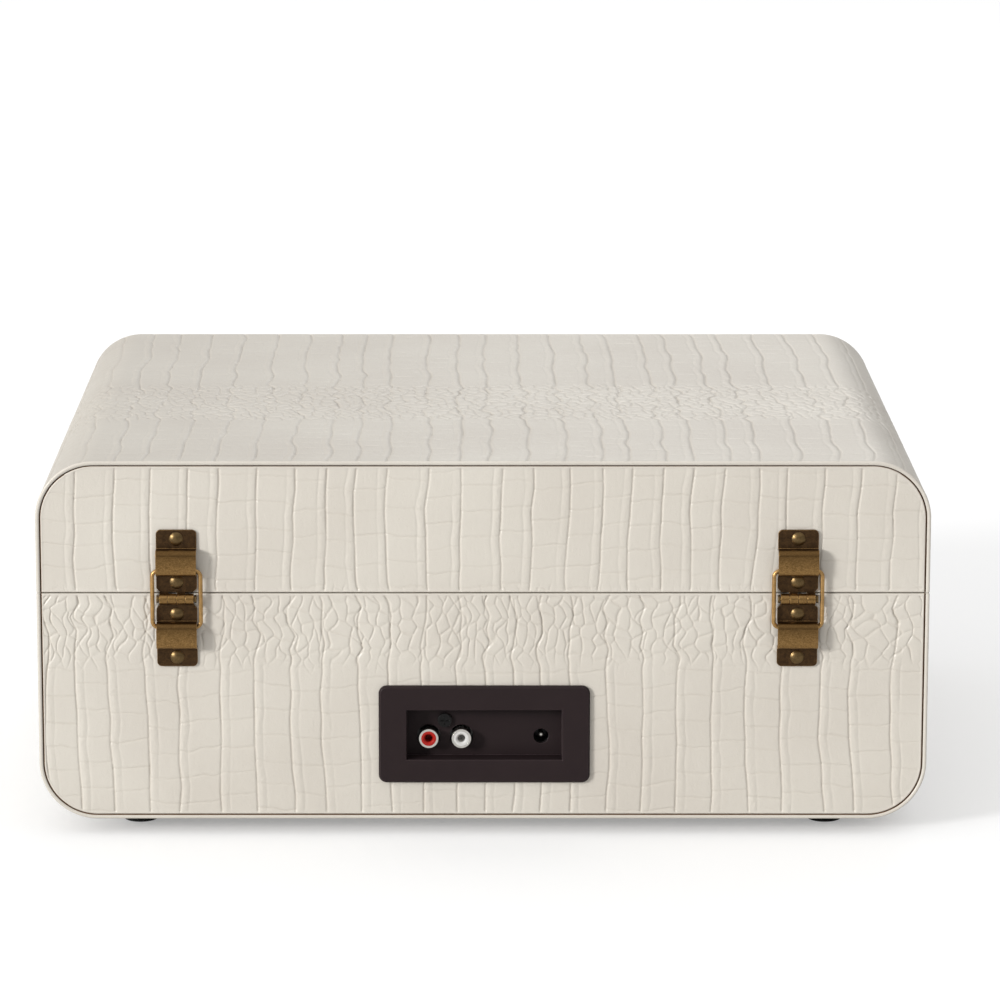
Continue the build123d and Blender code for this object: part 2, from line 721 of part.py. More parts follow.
with BuildPart() as platter:
    with BuildSketch(Plane((platter_x, 0, 0), x_dir=(1, 0, 0), z_dir=(0, -1, 0))):
        with BuildLine():
            Polyline(
                (spindle_radius + running_gap, well_floor + 2.2),
                (hub_radius, well_floor + 2.2),
                (hub_radius, platter_top - platter_disc),
                (belt_rim - 2, platter_top - platter_disc),
                (belt_rim - 2, well_floor + 3),
                (belt_rim, well_floor + 3),
                (belt_rim, platter_top - platter_disc),
                (platter_radius - 2.2, platter_top - platter_disc),
                (platter_radius - 2.2, well_floor + 4.5),
                (platter_radius, well_floor + 4.5),
                (platter_radius, platter_top),
                (spindle_radius + running_gap, platter_top),
                close=True,
            )
        make_face()
    revolve(axis=Axis((platter_x, 0, 0), (0, 0, 1)))
    rim = platter.edges().filter_by(GeomType.CIRCLE).group_by(Axis.Z)[-1].sort_by(SortBy.RADIUS)[-1]
    fillet(rim, 0.8)
write(platter, "platter")

with BuildPart() as slip_mat:
    with BuildSketch(Plane.XY.offset(platter_top)):
        with Locations((platter_x, 0)):
            Circle(platter_radius - 2.5)
            Circle(9.0, mode=Mode.SUBTRACT)
    extrude(amount=mat_thickness)
write(slip_mat, "slip_mat")

with BuildPart() as spindle:
    with BuildSketch(Plane((platter_x, 0, 0), x_dir=(1, 0, 0), z_dir=(0, -1, 0))):
        with BuildLine():
            Polyline(
                (0, well_under - 2),
                (9.0, well_under - 2),
                (9.0, well_under),
                (spindle_radius, well_under),
                (spindle_radius, clip_low - 0.1),
                (clip_groove, clip_low - 0.1),
                (clip_groove, clip_low + clip_thickness + 0.1),
                (spindle_radius, clip_low + clip_thickness + 0.1),
                (spindle_radius, spindle_top - 2.0),
                (1.6, spindle_top),
                (0, spindle_top),
                close=True,
            )
        make_face()
    revolve(axis=Axis((platter_x, 0, 0), (0, 0, 1)))
write(spindle, "spindle")

with BuildPart() as spindle_clip:
    with BuildSketch(Plane.XY.offset(clip_low)):
        with Locations((platter_x, 0)):
            Circle(6.0)
            Circle(clip_groove + 0.05, mode=Mode.SUBTRACT)
            with Locations((5, 0)):
                Rectangle(10, 3.6, mode=Mode.SUBTRACT)
    extrude(amount=clip_thickness)
write(spindle_clip, "spindle_clip")


def belt_loop(platter_side, pulley_side):
    """The area inside a loop stretched round two wheels of these radii."""
    with Locations((platter_x, 0)):
        wheel = Circle(platter_side)
    with Locations((motor_x, motor_y)):
        Circle(pulley_side)
    make_hull()
    return wheel


with BuildPart() as drive_belt:
    belt_gap = 0.05
    with BuildSketch(Plane.XY.offset(belt_low)):
        belt_loop(belt_rim + belt_gap + belt_thickness, pulley_radius + belt_gap + belt_thickness)
    extrude(amount=belt_high - belt_low)
    with BuildSketch(Plane.XY.offset(belt_low)):
        belt_loop(belt_rim + belt_gap, pulley_radius + belt_gap)
    extrude(amount=belt_high - belt_low, mode=Mode.SUBTRACT)
write(drive_belt, "drive_belt")

with BuildPart() as motor:
    with Locations((motor_x, motor_y, well_under - motor_length / 2)):
        Cylinder(motor_radius, motor_length)
    fillet(motor.edges().filter_by(GeomType.CIRCLE).group_by(Axis.Z)[0], 1.5)
    with Locations((motor_x, motor_y, well_under)):
        Cylinder(shaft_radius + running_gap, 2 * motor_length - 8, mode=Mode.SUBTRACT)
write(motor, "motor")

with BuildPart() as motor_pulley:
    with BuildSketch(Plane((motor_x, motor_y, 0), x_dir=(1, 0, 0), z_dir=(0, -1, 0))):
        with BuildLine():
            Polyline(
                (0, well_under - motor_length + 5),
                (shaft_radius, well_under - motor_length + 5),
                (shaft_radius, belt_low - 1.6),
                (pulley_radius + 1.4, belt_low - 1.6),
                (pulley_radius + 1.4, belt_low - 0.4),
                (pulley_radius, belt_low - 0.4),
                (pulley_radius, belt_high + 0.4),
                (pulley_radius + 1.4, belt_high + 0.4),
                (pulley_radius + 1.4, belt_high + 1.6),
                (0, belt_high + 1.6),
                close=True,
            )
        make_face()
    revolve(axis=Axis((motor_x, motor_y, 0), (0, 0, 1)))
write(motor_pulley, "motor_pulley")

# ================================================================ speakers
with BuildPart() as speaker_grilles:
    for side in both_sides:
        with BuildSketch(Plane.XY.offset(deck_top)):
            with Locations((side * speaker_x, speaker_y)):
                Circle(grille_radius)
                for ring in range(1, 5):
                    with PolarLocations(6.4 * ring, 6 * ring):
                        Circle(1.7, mode=Mode.SUBTRACT)
                Circle(1.7, mode=Mode.SUBTRACT)
        extrude(amount=1.2)
write(speaker_grilles, "speaker_grilles")

with BuildPart() as speaker_drivers:
    for side in both_sides:
        with BuildSketch(Plane((side * speaker_x, speaker_y, 0), x_dir=(1, 0, 0), z_dir=(0, -1, 0))):
            with BuildLine():
                Polyline(
                    (0, deck_under - 31),
                    (17, deck_under - 31),
                    (17, deck_under - 18),
                    (20, deck_under - 17),
                    (30, deck_under - 2),
                    (speaker_radius, deck_under - 2),
                    (speaker_radius, deck_under),
                    (28, deck_under),
                    (25.5, deck_under - 1.2),
                    (23.5, deck_under - 0.8),
                    (9, deck_under - 11),
                    (0, deck_under - 8),
                    close=True,
                )
            make_face()
        revolve(axis=Axis((side * speaker_x, speaker_y, 0), (0, 0, 1)))
write(speaker_drivers, "speaker_drivers")

# ================================================================ tonearm
with BuildPart(arm_plane) as tonearm_base:
    with Locations((0, 0, (deck_top + pedestal_top) / 2)):
        Cylinder(pedestal_radius, pedestal_top - deck_top)
    fillet(tonearm_base.edges().filter_by(GeomType.CIRCLE).group_by(Axis.Z)[-1], 1.5)
    with Locations((0, -lift_reach, (deck_top + 108) / 2)):
        Cylinder(5.0, 108 - deck_top)
    with Locations((0, -lift_reach / 2, deck_top + 2)):
        Box(10, lift_reach, 4)
    with Locations((cue_offset - 6, -lift_reach / 2, deck_top + 4)):
        Box(6, 10, 8)
    with Locations((0, 0, deck_top - 3)):
        Cylinder(7.8, 6)
    with Locations((0, 0, deck_top)):
        Cylinder(swivel_post + running_gap, 40, mode=Mode.SUBTRACT)
    with Locations((0, -lift_reach, deck_top + 8)):
        Cylinder(2.05, 15, mode=Mode.SUBTRACT)
    with Locations((cue_offset - 6, -lift_reach / 2, deck_top + 4)):
        Cylinder(1.55, 12, rotation=(0, 90, 0), mode=Mode.SUBTRACT)
write(tonearm_base, "tonearm_base")

with BuildPart(arm_plane) as tonearm_gimbal:
    with Locations((0, 0, (deck_under + pedestal_top) / 2)):
        Cylinder(swivel_post, pedestal_top - deck_under)
    with Locations((0, 0, pedestal_top + 1.2)):
        Cylinder(14.0, 2.0)
    for side in both_sides:
        with Locations((side * (yoke_half_gap + 1.5), 0, (pedestal_top + 2 + arm_z + 5) / 2)):
            Box(3.0, 11, arm_z + 5 - pedestal_top - 2)
    fillet(tonearm_gimbal.edges().filter_by(lambda e: e.center().Z > arm_z + 4.9 and e.length < 4), 4.0)
    with Locations((0, 0, pedestal_top + 0.1)):
        Cylinder(swivel_post, 0.4)
    with Locations((0, 0, arm_z)):
        Cylinder(trunnion_radius + running_gap, 40, rotation=(0, 90, 0), mode=Mode.SUBTRACT)
write(tonearm_gimbal, "tonearm_gimbal")

with BuildPart(arm_plane) as arm_pivot_block:
    with Locations((0, 4, arm_z)):
        Box(15.0, 34, 11)
    fillet(arm_pivot_block.edges(), 1.5)
    with Locations((0, 0, arm_z)):
        Cylinder(trunnion_radius, 2 * (yoke_half_gap + 2.6), rotation=(0, 90, 0))
    with Locations((0, -11, arm_z)):
        Cylinder(tube_radius, 10, rotation=(90, 0, 0), mode=Mode.SUBTRACT)
write(arm_pivot_block, "arm_pivot_block")

head_root = arm_length - 26
plug_length = 12.0
with BuildPart(arm_plane) as tonearm_tube:
    with Locations((0, -(head_root + 8) / 2, arm_z)):
        Cylinder(tube_radius, head_root - 8, rotation=(90, 0, 0))
        Cylinder(tube_radius - 0.7, head_root, rotation=(90, 0, 0), mode=Mode.SUBTRACT)
write(tonearm_tube, "tonearm_tube")

head_origin = arm_plane.from_local_coords((0, -head_root, 0))
head_turn = radians(arm_angle + head_angle)
head_plane = Plane(origin=head_origin, x_dir=(cos(head_turn), sin(head_turn), 0), z_dir=(0, 0, 1))
with BuildPart(head_plane) as headshell:
    with BuildSketch(head_plane.offset(arm_z - 2.2)):
        with BuildLine():
            Polyline((-4, -1), (4, -1), (8.5, -12), (8.5, -38), (-8.5, -38), (-8.5, -12), (-4, -1))
        make_face()
    extrude(amount=5.2)
    fillet(headshell.edges().filter_by(Axis.Z).group_by(SortBy.LENGTH)[-1], 1.5)
    plug_turn = radians(head_angle)
    with Locations((plug_length / 3 * sin(plug_turn), plug_length / 3 * cos(plug_turn), arm_z)):
        Cylinder(tube_radius - 0.8, plug_length, rotation=(90, -head_angle, 0))
    with Locations((0, -26, arm_z - 2.2)):
        Box(14.4, 21, 7.0, mode=Mode.SUBTRACT)
    with Locations((10.5, -32, arm_z + 2.4)):
        Box(9.0, 5.0, 1.2)
    with Locations((14.2, -32, arm_z + 3.4)):
        Box(1.6, 5.0, 3.2)
write(headshell, "headshell")

with BuildPart(head_plane) as cartridge:
    with Locations((0, -25, arm_z - 1.55)):
        Box(11.5, 17, 5.5)
    fillet(cartridge.edges().filter_by(Axis.Z), 1.0)
    with Locations((0, -24, arm_z - 5.0)):
        Box(6.0, 12, 1.5)
write(cartridge, "cartridge")

with BuildPart(head_plane) as stylus:
    with BuildSketch(Plane(head_plane.origin, x_dir=head_plane.y_dir, z_dir=head_plane.x_dir)):
        with BuildLine():
            Polyline(
                (-17.5, arm_z - 5.75),
                (-31.5, arm_z - 5.75),
                (-30.0, arm_z - 6.8),
                (-27.4, stylus_tip + 0.9),
                (-27.0, stylus_tip),
                (-26.6, stylus_tip + 0.9),
                (-25.6, arm_z - 7.4),
                (-17.5, arm_z - 7.8),
                (-17.5, arm_z - 5.75),
            )
        make_face()
    extrude(amount=2.2, both=True)
write(stylus, "stylus")

with BuildPart(arm_plane) as tonearm_rest:
    with Locations((0.6, -rest_reach, (deck_top + arm_z - 3.2) / 2)):
        Box(9.0, 9.0, arm_z - 3.2 - deck_top)
    with Locations((5.6, -rest_reach, (deck_top + arm_z + 2) / 2)):
        Box(4.0, 9.0, arm_z + 2 - deck_top)
    fillet(tonearm_rest.edges().filter_by(Axis.Z), 1.0)
    with Locations((5.6, -rest_reach, arm_z - 1)):
        Cylinder(0.85, 30, rotation=(90, 0, 0), mode=Mode.SUBTRACT)
write(tonearm_rest, "tonearm_rest")

clip_pivot_x = 5.6
with BuildPart(arm_plane) as rest_clip:
    for end in both_sides:
        with Locations((clip_pivot_x, -rest_reach + end * 5.3, arm_z - 1)):
            Cylinder(2.2, 1.4, rotation=(90, 0, 0))
        with Locations((clip_pivot_x + 5.0, -rest_reach + end * 5.3, arm_z - 1)):
            Box(10.0, 1.4, 2.2)
    with Locations((clip_pivot_x + 10.6, -rest_reach, arm_z - 1)):
        Box(1.4, 12.0, 2.2)
    with Locations((clip_pivot_x, -rest_reach, arm_z - 1)):
        Cylinder(0.8, 11.0, rotation=(90, 0, 0))
write(rest_clip, "rest_clip")

with BuildPart(arm_plane) as cue_lever:
    with Locations((cue_offset - 5, -lift_reach / 2, deck_top + 4)):
        Cylinder(1.5, 10, rotation=(0, 90, 0))
    with Locations((cue_offset + 1, -lift_reach / 2, deck_top + 4)):
        Cylinder(3.2, 3, rotation=(0, 90, 0))
    with Locations((cue_offset + 1, -lift_reach / 2 - 13, deck_top + 4)):
        Box(3, 24, 3)
    with Locations((cue_offset + 1, -lift_reach / 2 - 25, deck_top + 4.8)):
        Box(5, 5, 4.6)
write(cue_lever, "cue_lever")

with BuildPart(arm_plane) as lift_bar:
    with Locations((0, -lift_reach, (deck_top + 1 + lift_top - 1.4) / 2)):
        Cylinder(2.0, lift_top - 1.4 - deck_top - 1)
    with Locations((-7, -lift_reach, lift_top - 0.7)):
        Box(24, 5, 1.4)
    fillet(lift_bar.edges().filter_by(Axis.Z), 1.5)
write(lift_bar, "lift_bar")

# ================================================================ controls


def knob(at, radius, height):
    """A fluted round knob with a pointer notch, on a shaft that drops through the deck."""
    with BuildPart() as turned:
        with Locations((*at, deck_top + knob_gap + height / 2)):
            Cylinder(radius, height)
        fillet(turned.edges().filter_by(GeomType.CIRCLE).group_by(Axis.Z)[-1], knob_edge)
        with Locations((*at, deck_top + knob_gap + height / 2)):
            with PolarLocations(radius + flute_radius / 3, flutes):
                Cylinder(flute_radius, height - 4 * knob_edge, mode=Mode.SUBTRACT)
        with Locations((at[0], at[1] + radius - 1.5, deck_top + knob_gap + height)):
            Box(1.2, 3.4, 1.6, mode=Mode.SUBTRACT)
        with Locations((*at, deck_top - 3.0)):
            Cylinder(knob_shaft, 8.0)
    return turned


volume_knob = knob(volume_at, 9.0, 11.0)
write(volume_knob, "volume_knob")
mode_knob = knob(mode_at, 7.5, 9.0)
write(mode_knob, "mode_knob")


def slider(at, length):
    """A finger cap on a stem through a slot in the deck."""
    with BuildPart() as cap:
        with Locations((*at, deck_top + 0.4 + 2.5)):
            Box(7.0, length, 5.0)
        fillet(cap.edges().group_by(Axis.Z)[-1], 1.0)
        with Locations((*at, deck_top - 2.0)):
            Box(3.4, 5.0, 6.0)
    return cap


write(slider(speed_at, 9.0), "speed_lever")
write(slider(autostop_at, 8.0), "autostop_slider")

board_top = 89.6
with BuildPart() as headphone_jack:
    with Locations((*headphone_at, deck_top + 0.6)):
        Cylinder(5.6, 1.2)
    with Locations((*headphone_at, (board_top + deck_top) / 2)):
        Cylinder(4.0, deck_top - board_top)
    with Locations((*headphone_at, deck_top + 1.2 - 5.0)):
        Cylinder(1.8, 10.0, mode=Mode.SUBTRACT)
write(headphone_jack, "headphone_jack")

with BuildPart() as main_board:
    with Locations((76, -122, board_top - pcb / 2)):
        Box(64, 54, pcb)
    with Locations((*volume_at, board_top + 1.6), (*mode_at, board_top + 1.6)):
        Box(13, 13, 3.2)
    with Locations((70, -108, board_top + 1.25)):
        Box(10, 10, 2.5)
    with Locations((58, -112, board_top - pcb - 5)):
        Cylinder(4, 10)
write(main_board, "main_board")

with BuildPart() as adapter_45:
    with BuildSketch(Plane((adapter_x, adapter_y, 0), x_dir=(1, 0, 0), z_dir=(0, -1, 0))):
        with BuildLine():
            Polyline(
                (3.65, deck_top - 2.9),
                (adapter_radius, deck_top - 2.9),
                (adapter_radius, deck_top - 0.5),
                (15.0, deck_top + 0.8),
                (12.0, deck_top + 0.8),
                (9.0, deck_top - 0.4),
                (6.5, deck_top + 0.8),
                (3.65, deck_top + 0.8),
                close=True,
            )
        make_face()
    revolve(axis=Axis((adapter_x, adapter_y, 0), (0, 0, 1)))
write(adapter_45, "adapter_45")

# ================================================================ screws


def screw(head_radius, head_height, shank_radius, length):
    """A round-headed cross-recess screw on the current workplane, head up, seat at height 0."""
    with Locations((0, 0, head_height / 2)):
        Cylinder(head_radius, head_height)
    with Locations((0, 0, -length / 2)):
        Cylinder(shank_radius, length)
    with Locations((0, 0, head_height)):
        Box(0.7, head_radius * 1.2, 1.4, mode=Mode.SUBTRACT)
        Box(head_radius * 1.2, 0.7, 1.4, mode=Mode.SUBTRACT)


with BuildPart() as case_screws:
    for x in (-block_x, block_x):
        for y in (-block_y, block_y):
            with Locations(Location((x, y, deck_top))):
                screw(3.0, 1.6, 1.25, 12.0)
    for x in (-foot_x, foot_x):
        for y in (-foot_y, foot_y):
            with Locations(Location((x, y, foot_height / 2), (180, 0, 0))):
                screw(3.8, 2.0, foot_screw, 11.0)
    with Locations(Location((socket_screw_x, recess_floor, socket_screw_z), (-90, 0, 0))):
        screw(3.0, 1.6, 1.45, 12.0)
write(case_screws, "case_screws")
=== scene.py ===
"""Looks for the suitcase record player: embossed vinyl, antique brass, moulded plastic and the stage.

Lengths named *_mm are millimetres; Blender itself works in metres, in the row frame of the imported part.
"""

import math

import bpy
import numpy as np
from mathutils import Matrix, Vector


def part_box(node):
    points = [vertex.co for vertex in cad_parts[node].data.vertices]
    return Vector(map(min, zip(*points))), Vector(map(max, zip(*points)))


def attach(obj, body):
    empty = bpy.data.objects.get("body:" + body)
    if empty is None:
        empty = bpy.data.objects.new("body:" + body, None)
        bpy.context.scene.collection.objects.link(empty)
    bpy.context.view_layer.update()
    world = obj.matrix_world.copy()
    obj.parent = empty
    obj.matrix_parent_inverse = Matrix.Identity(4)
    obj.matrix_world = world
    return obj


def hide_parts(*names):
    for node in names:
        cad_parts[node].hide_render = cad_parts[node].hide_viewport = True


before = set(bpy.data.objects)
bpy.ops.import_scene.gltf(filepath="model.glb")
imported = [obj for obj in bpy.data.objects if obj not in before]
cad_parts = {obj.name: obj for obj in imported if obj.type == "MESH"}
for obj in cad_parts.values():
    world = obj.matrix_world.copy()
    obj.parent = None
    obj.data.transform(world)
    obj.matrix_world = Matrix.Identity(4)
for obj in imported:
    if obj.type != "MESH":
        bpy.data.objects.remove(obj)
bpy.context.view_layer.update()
MM = 0.001

# ------------------------------------------------------------------ places taken from the frame


def box_mm(node):
    """A CAD node's lowest and highest corners at rest, in millimetres."""
    low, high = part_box(node)
    return np.array(low) / MM, np.array(high) / MM


WRAP_LOW, WRAP_HIGH = box_mm("base_wrap_vinyl")
LID_LOW, LID_HIGH = box_mm("lid_wrap_vinyl")
HALF_X = LID_HIGH[0]
HALF_Y = LID_HIGH[1]
CASE_LOW_Z, SPLIT_LOW_Z = WRAP_LOW[2], WRAP_HIGH[2]
SPLIT_HIGH_Z, CASE_TOP_Z = LID_LOW[2], LID_HIGH[2]
CORNER_MM = 25.0
WRAP_MM = HALF_X - box_mm("lid_shell")[1][0]
PANEL_INSET_MM = HALF_X - box_mm("lid_end_vinyls")[1][0]
PANEL_MM = HALF_Y - box_mm("lid_end_panels")[1][1]
BEZEL_LOW, BEZEL_HIGH = box_mm("io_bezel")
HOLE_LOW, HOLE_HIGH = BEZEL_LOW + 5.0, BEZEL_HIGH - 5.0  # the opening under the socket plate's flange
PIN_LOW, PIN_HIGH = box_mm("hinge_pins")
PIN_Y = (PIN_LOW[1] + PIN_HIGH[1]) / 2
PIN_Z = (PIN_LOW[2] + PIN_HIGH[2]) / 2

# ------------------------------------------------------------------ node graphs


class Graph:
    """A material whose nodes are added by type; an input is given a number, a colour or another socket."""

    def __init__(self, name):
        self.material = bpy.data.materials.new(name)
        self.material.use_nodes = True
        self.tree = self.material.node_tree
        self.shader = self.tree.nodes["Principled BSDF"]

    def add(self, kind, inputs=None, **settings):
        node = self.tree.nodes.new("ShaderNode" + kind)
        for key, value in settings.items():
            setattr(node, key, value)
        self.feed(node, inputs or {})
        return node

    def feed(self, node, inputs):
        for key, value in inputs.items():
            socket = node.inputs[key]
            if isinstance(value, bpy.types.NodeSocket):
                self.tree.links.new(value, socket)
            else:
                socket.default_value = value

    def math(self, operation, a, b=0.0, clamp=False):
        node = self.add("Math", {0: a, 1: b}, operation=operation)
        node.use_clamp = clamp
        return node.outputs[0]

    def place(self):
        """Object coordinates in millimetres."""
        coords = self.add("TexCoord").outputs["Object"]
        scaled = self.add("VectorMath", {0: coords}, operation="SCALE")
        scaled.inputs["Scale"].default_value = 1 / MM
        return scaled.outputs[0]

    def axes(self):
        split = self.add("SeparateXYZ", {0: self.place()})
        return split.outputs[0], split.outputs[1], split.outputs[2]

    def noise(self, size_mm, detail=3.0, stretch=(1, 1, 1), roughness=0.5):
        """Noise from 0 to 1 whose features are about size_mm across, longer along a stretched axis."""
        vector = self.add("VectorMath", {0: self.place(), 1: [1 / s for s in stretch]}, operation="MULTIPLY")
        node = self.add(
            "TexNoise",
            {"Vector": vector.outputs[0], "Scale": 1 / size_mm, "Detail": detail, "Roughness": roughness},
        )
        return node.outputs["Fac"]

    def cells(self, size_mm, feature="F1", stretch=(1, 1, 1)):
        vector = self.add("VectorMath", {0: self.place(), 1: [1 / s for s in stretch]}, operation="MULTIPLY")
        node = self.add("TexVoronoi", {"Vector": vector.outputs[0], "Scale": 1 / size_mm}, feature=feature)
        return node.outputs["Distance"]

    def span(self, value, low, high, out_low=0.0, out_high=1.0):
        """value moved from low..high to out_low..out_high, and held there outside."""
        node = self.add(
            "MapRange", {"Value": value, "From Min": low, "From Max": high, "To Min": out_low, "To Max": out_high}
        )
        return node.outputs["Result"]

    def blend(self, factor, a, b):
        """A colour between a and b."""
        node = self.add("Mix", data_type="RGBA")
        self.feed(node, {0: factor, 6: a, 7: b})
        return node.outputs[2]

    def bump(self, height, depth_mm, normal=None):
        node = self.add("Bump", {"Height": height, "Distance": depth_mm * MM, "Strength": 1.0})
        if normal is not None:
            self.feed(node, {"Normal": normal})
        return node.outputs["Normal"]

    def rounded(self, radius_mm):
        """The normal of edges as if they were rounded."""
        return self.add("Bevel", {"Radius": radius_mm * MM}, samples=6).outputs[0]

    def edges(self, radius_mm):
        """0 on flats, rising to 1 on outside and inside edges."""
        normal = self.add("NewGeometry").outputs["Normal"]
        dot = self.add("VectorMath", {0: self.rounded(radius_mm), 1: normal}, operation="DOT_PRODUCT")
        return self.span(dot.outputs["Value"], 1.0, 0.8)

    def finish(self, **inputs):
        self.feed(self.shader, {key.replace("_", " "): value for key, value in inputs.items()})
        return self.material


def rgba(r, g, b):
    """A linear colour from 0-255 screen values."""
    return [((c / 255 + 0.055) / 1.055) ** 2.4 if c > 10 else c / 255 / 12.92 for c in (r, g, b)] + [1.0]


# ------------------------------------------------------------------ materials


def vinyl_material():
    g = Graph("ivory_vinyl")
    groove = g.add("Attribute", attribute_name="groove").outputs["Fac"]
    cloudy = g.noise(60, 2)
    speck = g.noise(0.9, 4)
    base = g.blend(g.span(cloudy, 0.3, 0.7), rgba(206, 200, 189), rgba(199, 192, 181))
    # painted shade: the creases are darkened by up to a quarter toward a warm brown
    crease_painted_shade = g.blend(g.math("MULTIPLY", groove, 0.24), base, rgba(156, 142, 122))
    dusty = g.blend(g.span(speck, 0.62, 0.8, 0, 0.25), crease_painted_shade, rgba(180, 170, 154))
    pores = g.bump(g.noise(0.55, 3, roughness=0.6), 0.05)
    soft = g.bump(g.noise(3.5, 2), 0.10, pores)
    return g.finish(
        Base_Color=dusty,
        Roughness=g.span(g.math("ADD", speck, g.math("MULTIPLY", groove, 0.3)), 0.3, 1.0, 0.38, 0.56),
        Normal=soft,
        Coat_Weight=0.22,
        Coat_Roughness=0.28,
    )


def edge_paint_material():
    g = Graph("edge_paint")
    tone = g.blend(g.noise(1.5, 3), rgba(104, 78, 56), rgba(142, 112, 84))
    return g.finish(Base_Color=tone, Roughness=0.6, Normal=g.bump(g.noise(0.4, 2), 0.04))


def board_material():
    """Fibreboard stained dark, with the covering folded over its split edges."""
    g = Graph("board")
    x, y, z = g.axes()
    split = (SPLIT_LOW_Z + SPLIT_HIGH_Z) / 2
    off_split = g.math("ABSOLUTE", g.math("SUBTRACT", z, split))
    folded = g.math("LESS_THAN", off_split, 0.35)
    fibre = g.noise(0.7, 5, (3, 3, 1))
    wood = g.blend(fibre, rgba(58, 43, 32), rgba(84, 63, 46))
    tone = g.blend(folded, wood, rgba(224, 216, 203))
    return g.finish(Base_Color=tone, Roughness=g.span(fibre, 0.2, 0.8, 0.55, 0.8), Normal=g.bump(fibre, 0.06))


def lining_material():
    """Short flocked fabric, brown, with a faint nap."""
    g = Graph("flocked_lining")
    nap = g.noise(9, 3, (1, 1, 2))
    fibre = g.noise(0.35, 4, roughness=0.7)
    base = g.blend(nap, rgba(92, 74, 60), rgba(112, 92, 76))
    tone = g.blend(g.span(fibre, 0.35, 0.7, 0, 0.5), base, rgba(140, 120, 100))
    return g.finish(
        Base_Color=tone,
        Roughness=0.95,
        Sheen_Weight=0.6,
        Sheen_Roughness=0.4,
        Sheen_Tint=rgba(200, 185, 165),
        Normal=g.bump(fibre, 0.12, g.bump(nap, 0.3)),
    )


def brass_material(name, high_y=None, dark=((48, 33, 18), (84, 61, 36)), bright=((96, 70, 38), (150, 114, 66)), edge_wear_and_highlight_tone=(190, 150, 98), bulges=()):
    """Antiqued brass: dark in the flats, brushed bright wherever it stands proud of the case, and lighter on edges,
    partly as wear and partly as a painted highlight.

    high_y is how far from the middle the bright part begins; without it the whole piece is half rubbed.
    bulges are the middle heights of raised bands whose upper halves are darkened with painted shade.
    """
    g = Graph(name)
    x, y, z = g.axes()
    grain = g.noise(0.3, 4, (2, 1, 1), 0.7)
    blotch = g.noise(2.2, 5, roughness=0.65)
    spots = g.noise(0.5, 3, roughness=0.7)
    edge = g.edges(0.4)
    if high_y is None:
        proud = g.span(blotch, 0.2, 0.8, 0.45, 0.8)
    else:
        proud = g.span(g.math("ABSOLUTE", y), high_y - 0.2, high_y + 0.6)
    rubbed = g.math("MULTIPLY", proud, g.span(blotch, 0.25, 0.75, 0.75, 1.1), clamp=True)
    low = g.blend(g.span(g.math("ADD", blotch, grain), 0.75, 1.25), rgba(*dark[0]), rgba(*dark[1]))
    high = g.blend(g.span(grain, 0.32, 0.68), rgba(*bright[0]), rgba(*bright[1]))
    tone = g.blend(rubbed, low, high)
    tone = g.blend(g.span(spots, 0.62, 0.76, 0, 0.45), tone, rgba(48, 34, 20))
    # painted shade: the upper half of each raised band is darkened toward dark brown, as on a rounded band
    for middle in bulges:
        near = g.math("LESS_THAN", g.math("ABSOLUTE", g.math("SUBTRACT", z, middle)), 6.5)
        bulge_painted_shade = g.math("MULTIPLY", near, g.span(z, middle - 3.0, middle + 4.0, 0.0, 0.62))
        tone = g.blend(g.math("MULTIPLY", bulge_painted_shade, proud), tone, rgba(66, 46, 24))
    # edges are lightened toward a pale brass: partly wear, partly a painted highlight
    worn_and_highlit = g.blend(g.math("MULTIPLY", edge, g.span(blotch, 0.3, 0.7, 0.6, 1.0)), tone, rgba(*edge_wear_and_highlight_tone))
    return g.finish(
        Base_Color=worn_and_highlit,
        Metallic=g.span(rubbed, 0, 1, 0.85, 1.0),
        Roughness=g.span(g.math("ADD", rubbed, g.math("MULTIPLY", grain, 0.4)), 0.2, 1.4, 0.46, 0.25),
        Normal=g.bump(grain, 0.008, g.bump(blotch, 0.05, g.rounded(0.3))),
    )


def plastic_material(name, dark, light, roughness=0.5, texture_mm=0.35, depth_mm=0.02, edge_mm=0.25, specular=0.5, edge_wear_and_highlight=0.25):
    """Moulded plastic with a fine eroded texture and rounded edges, lightened partly as wear and partly as a painted
    highlight, most on the bezel.
    """
    g = Graph(name)
    fine = g.noise(texture_mm, 3, roughness=0.6)
    drift = g.noise(14, 3)
    tone = g.blend(drift, rgba(*dark), rgba(*light))
    edge = g.edges(edge_mm)
    # edges lightened in colour: partly wear, partly a painted highlight
    worn_and_highlit = g.blend(g.math("MULTIPLY", edge, edge_wear_and_highlight), tone, rgba(*[min(255, c * 1.7 + 14) for c in light]))
    return g.finish(
        Base_Color=worn_and_highlit,
        Roughness=g.span(g.math("ADD", fine, drift), 0.6, 1.4, roughness - 0.05, roughness + 0.08),
        Specular_IOR_Level=g.span(edge, 0, 1, specular, max(specular, 0.6)),
        Normal=g.bump(fine, depth_mm, g.rounded(edge_mm)),
    )


def metal_material(name, dark, light, roughness=0.25, stretch=(1, 1, 1), grain_mm=0.3):
    g = Graph(name)
    grain = g.noise(grain_mm, 3, stretch)
    smudge = g.noise(6, 3)
    tone = g.blend(grain, rgba(*dark), rgba(*light))
    return g.finish(
        Base_Color=tone,
        Metallic=1.0,
        Roughness=g.span(g.math("ADD", grain, smudge), 0.5, 1.5, roughness - 0.06, roughness + 0.1),
        Normal=g.bump(grain, 0.006, g.rounded(0.15)),
    )


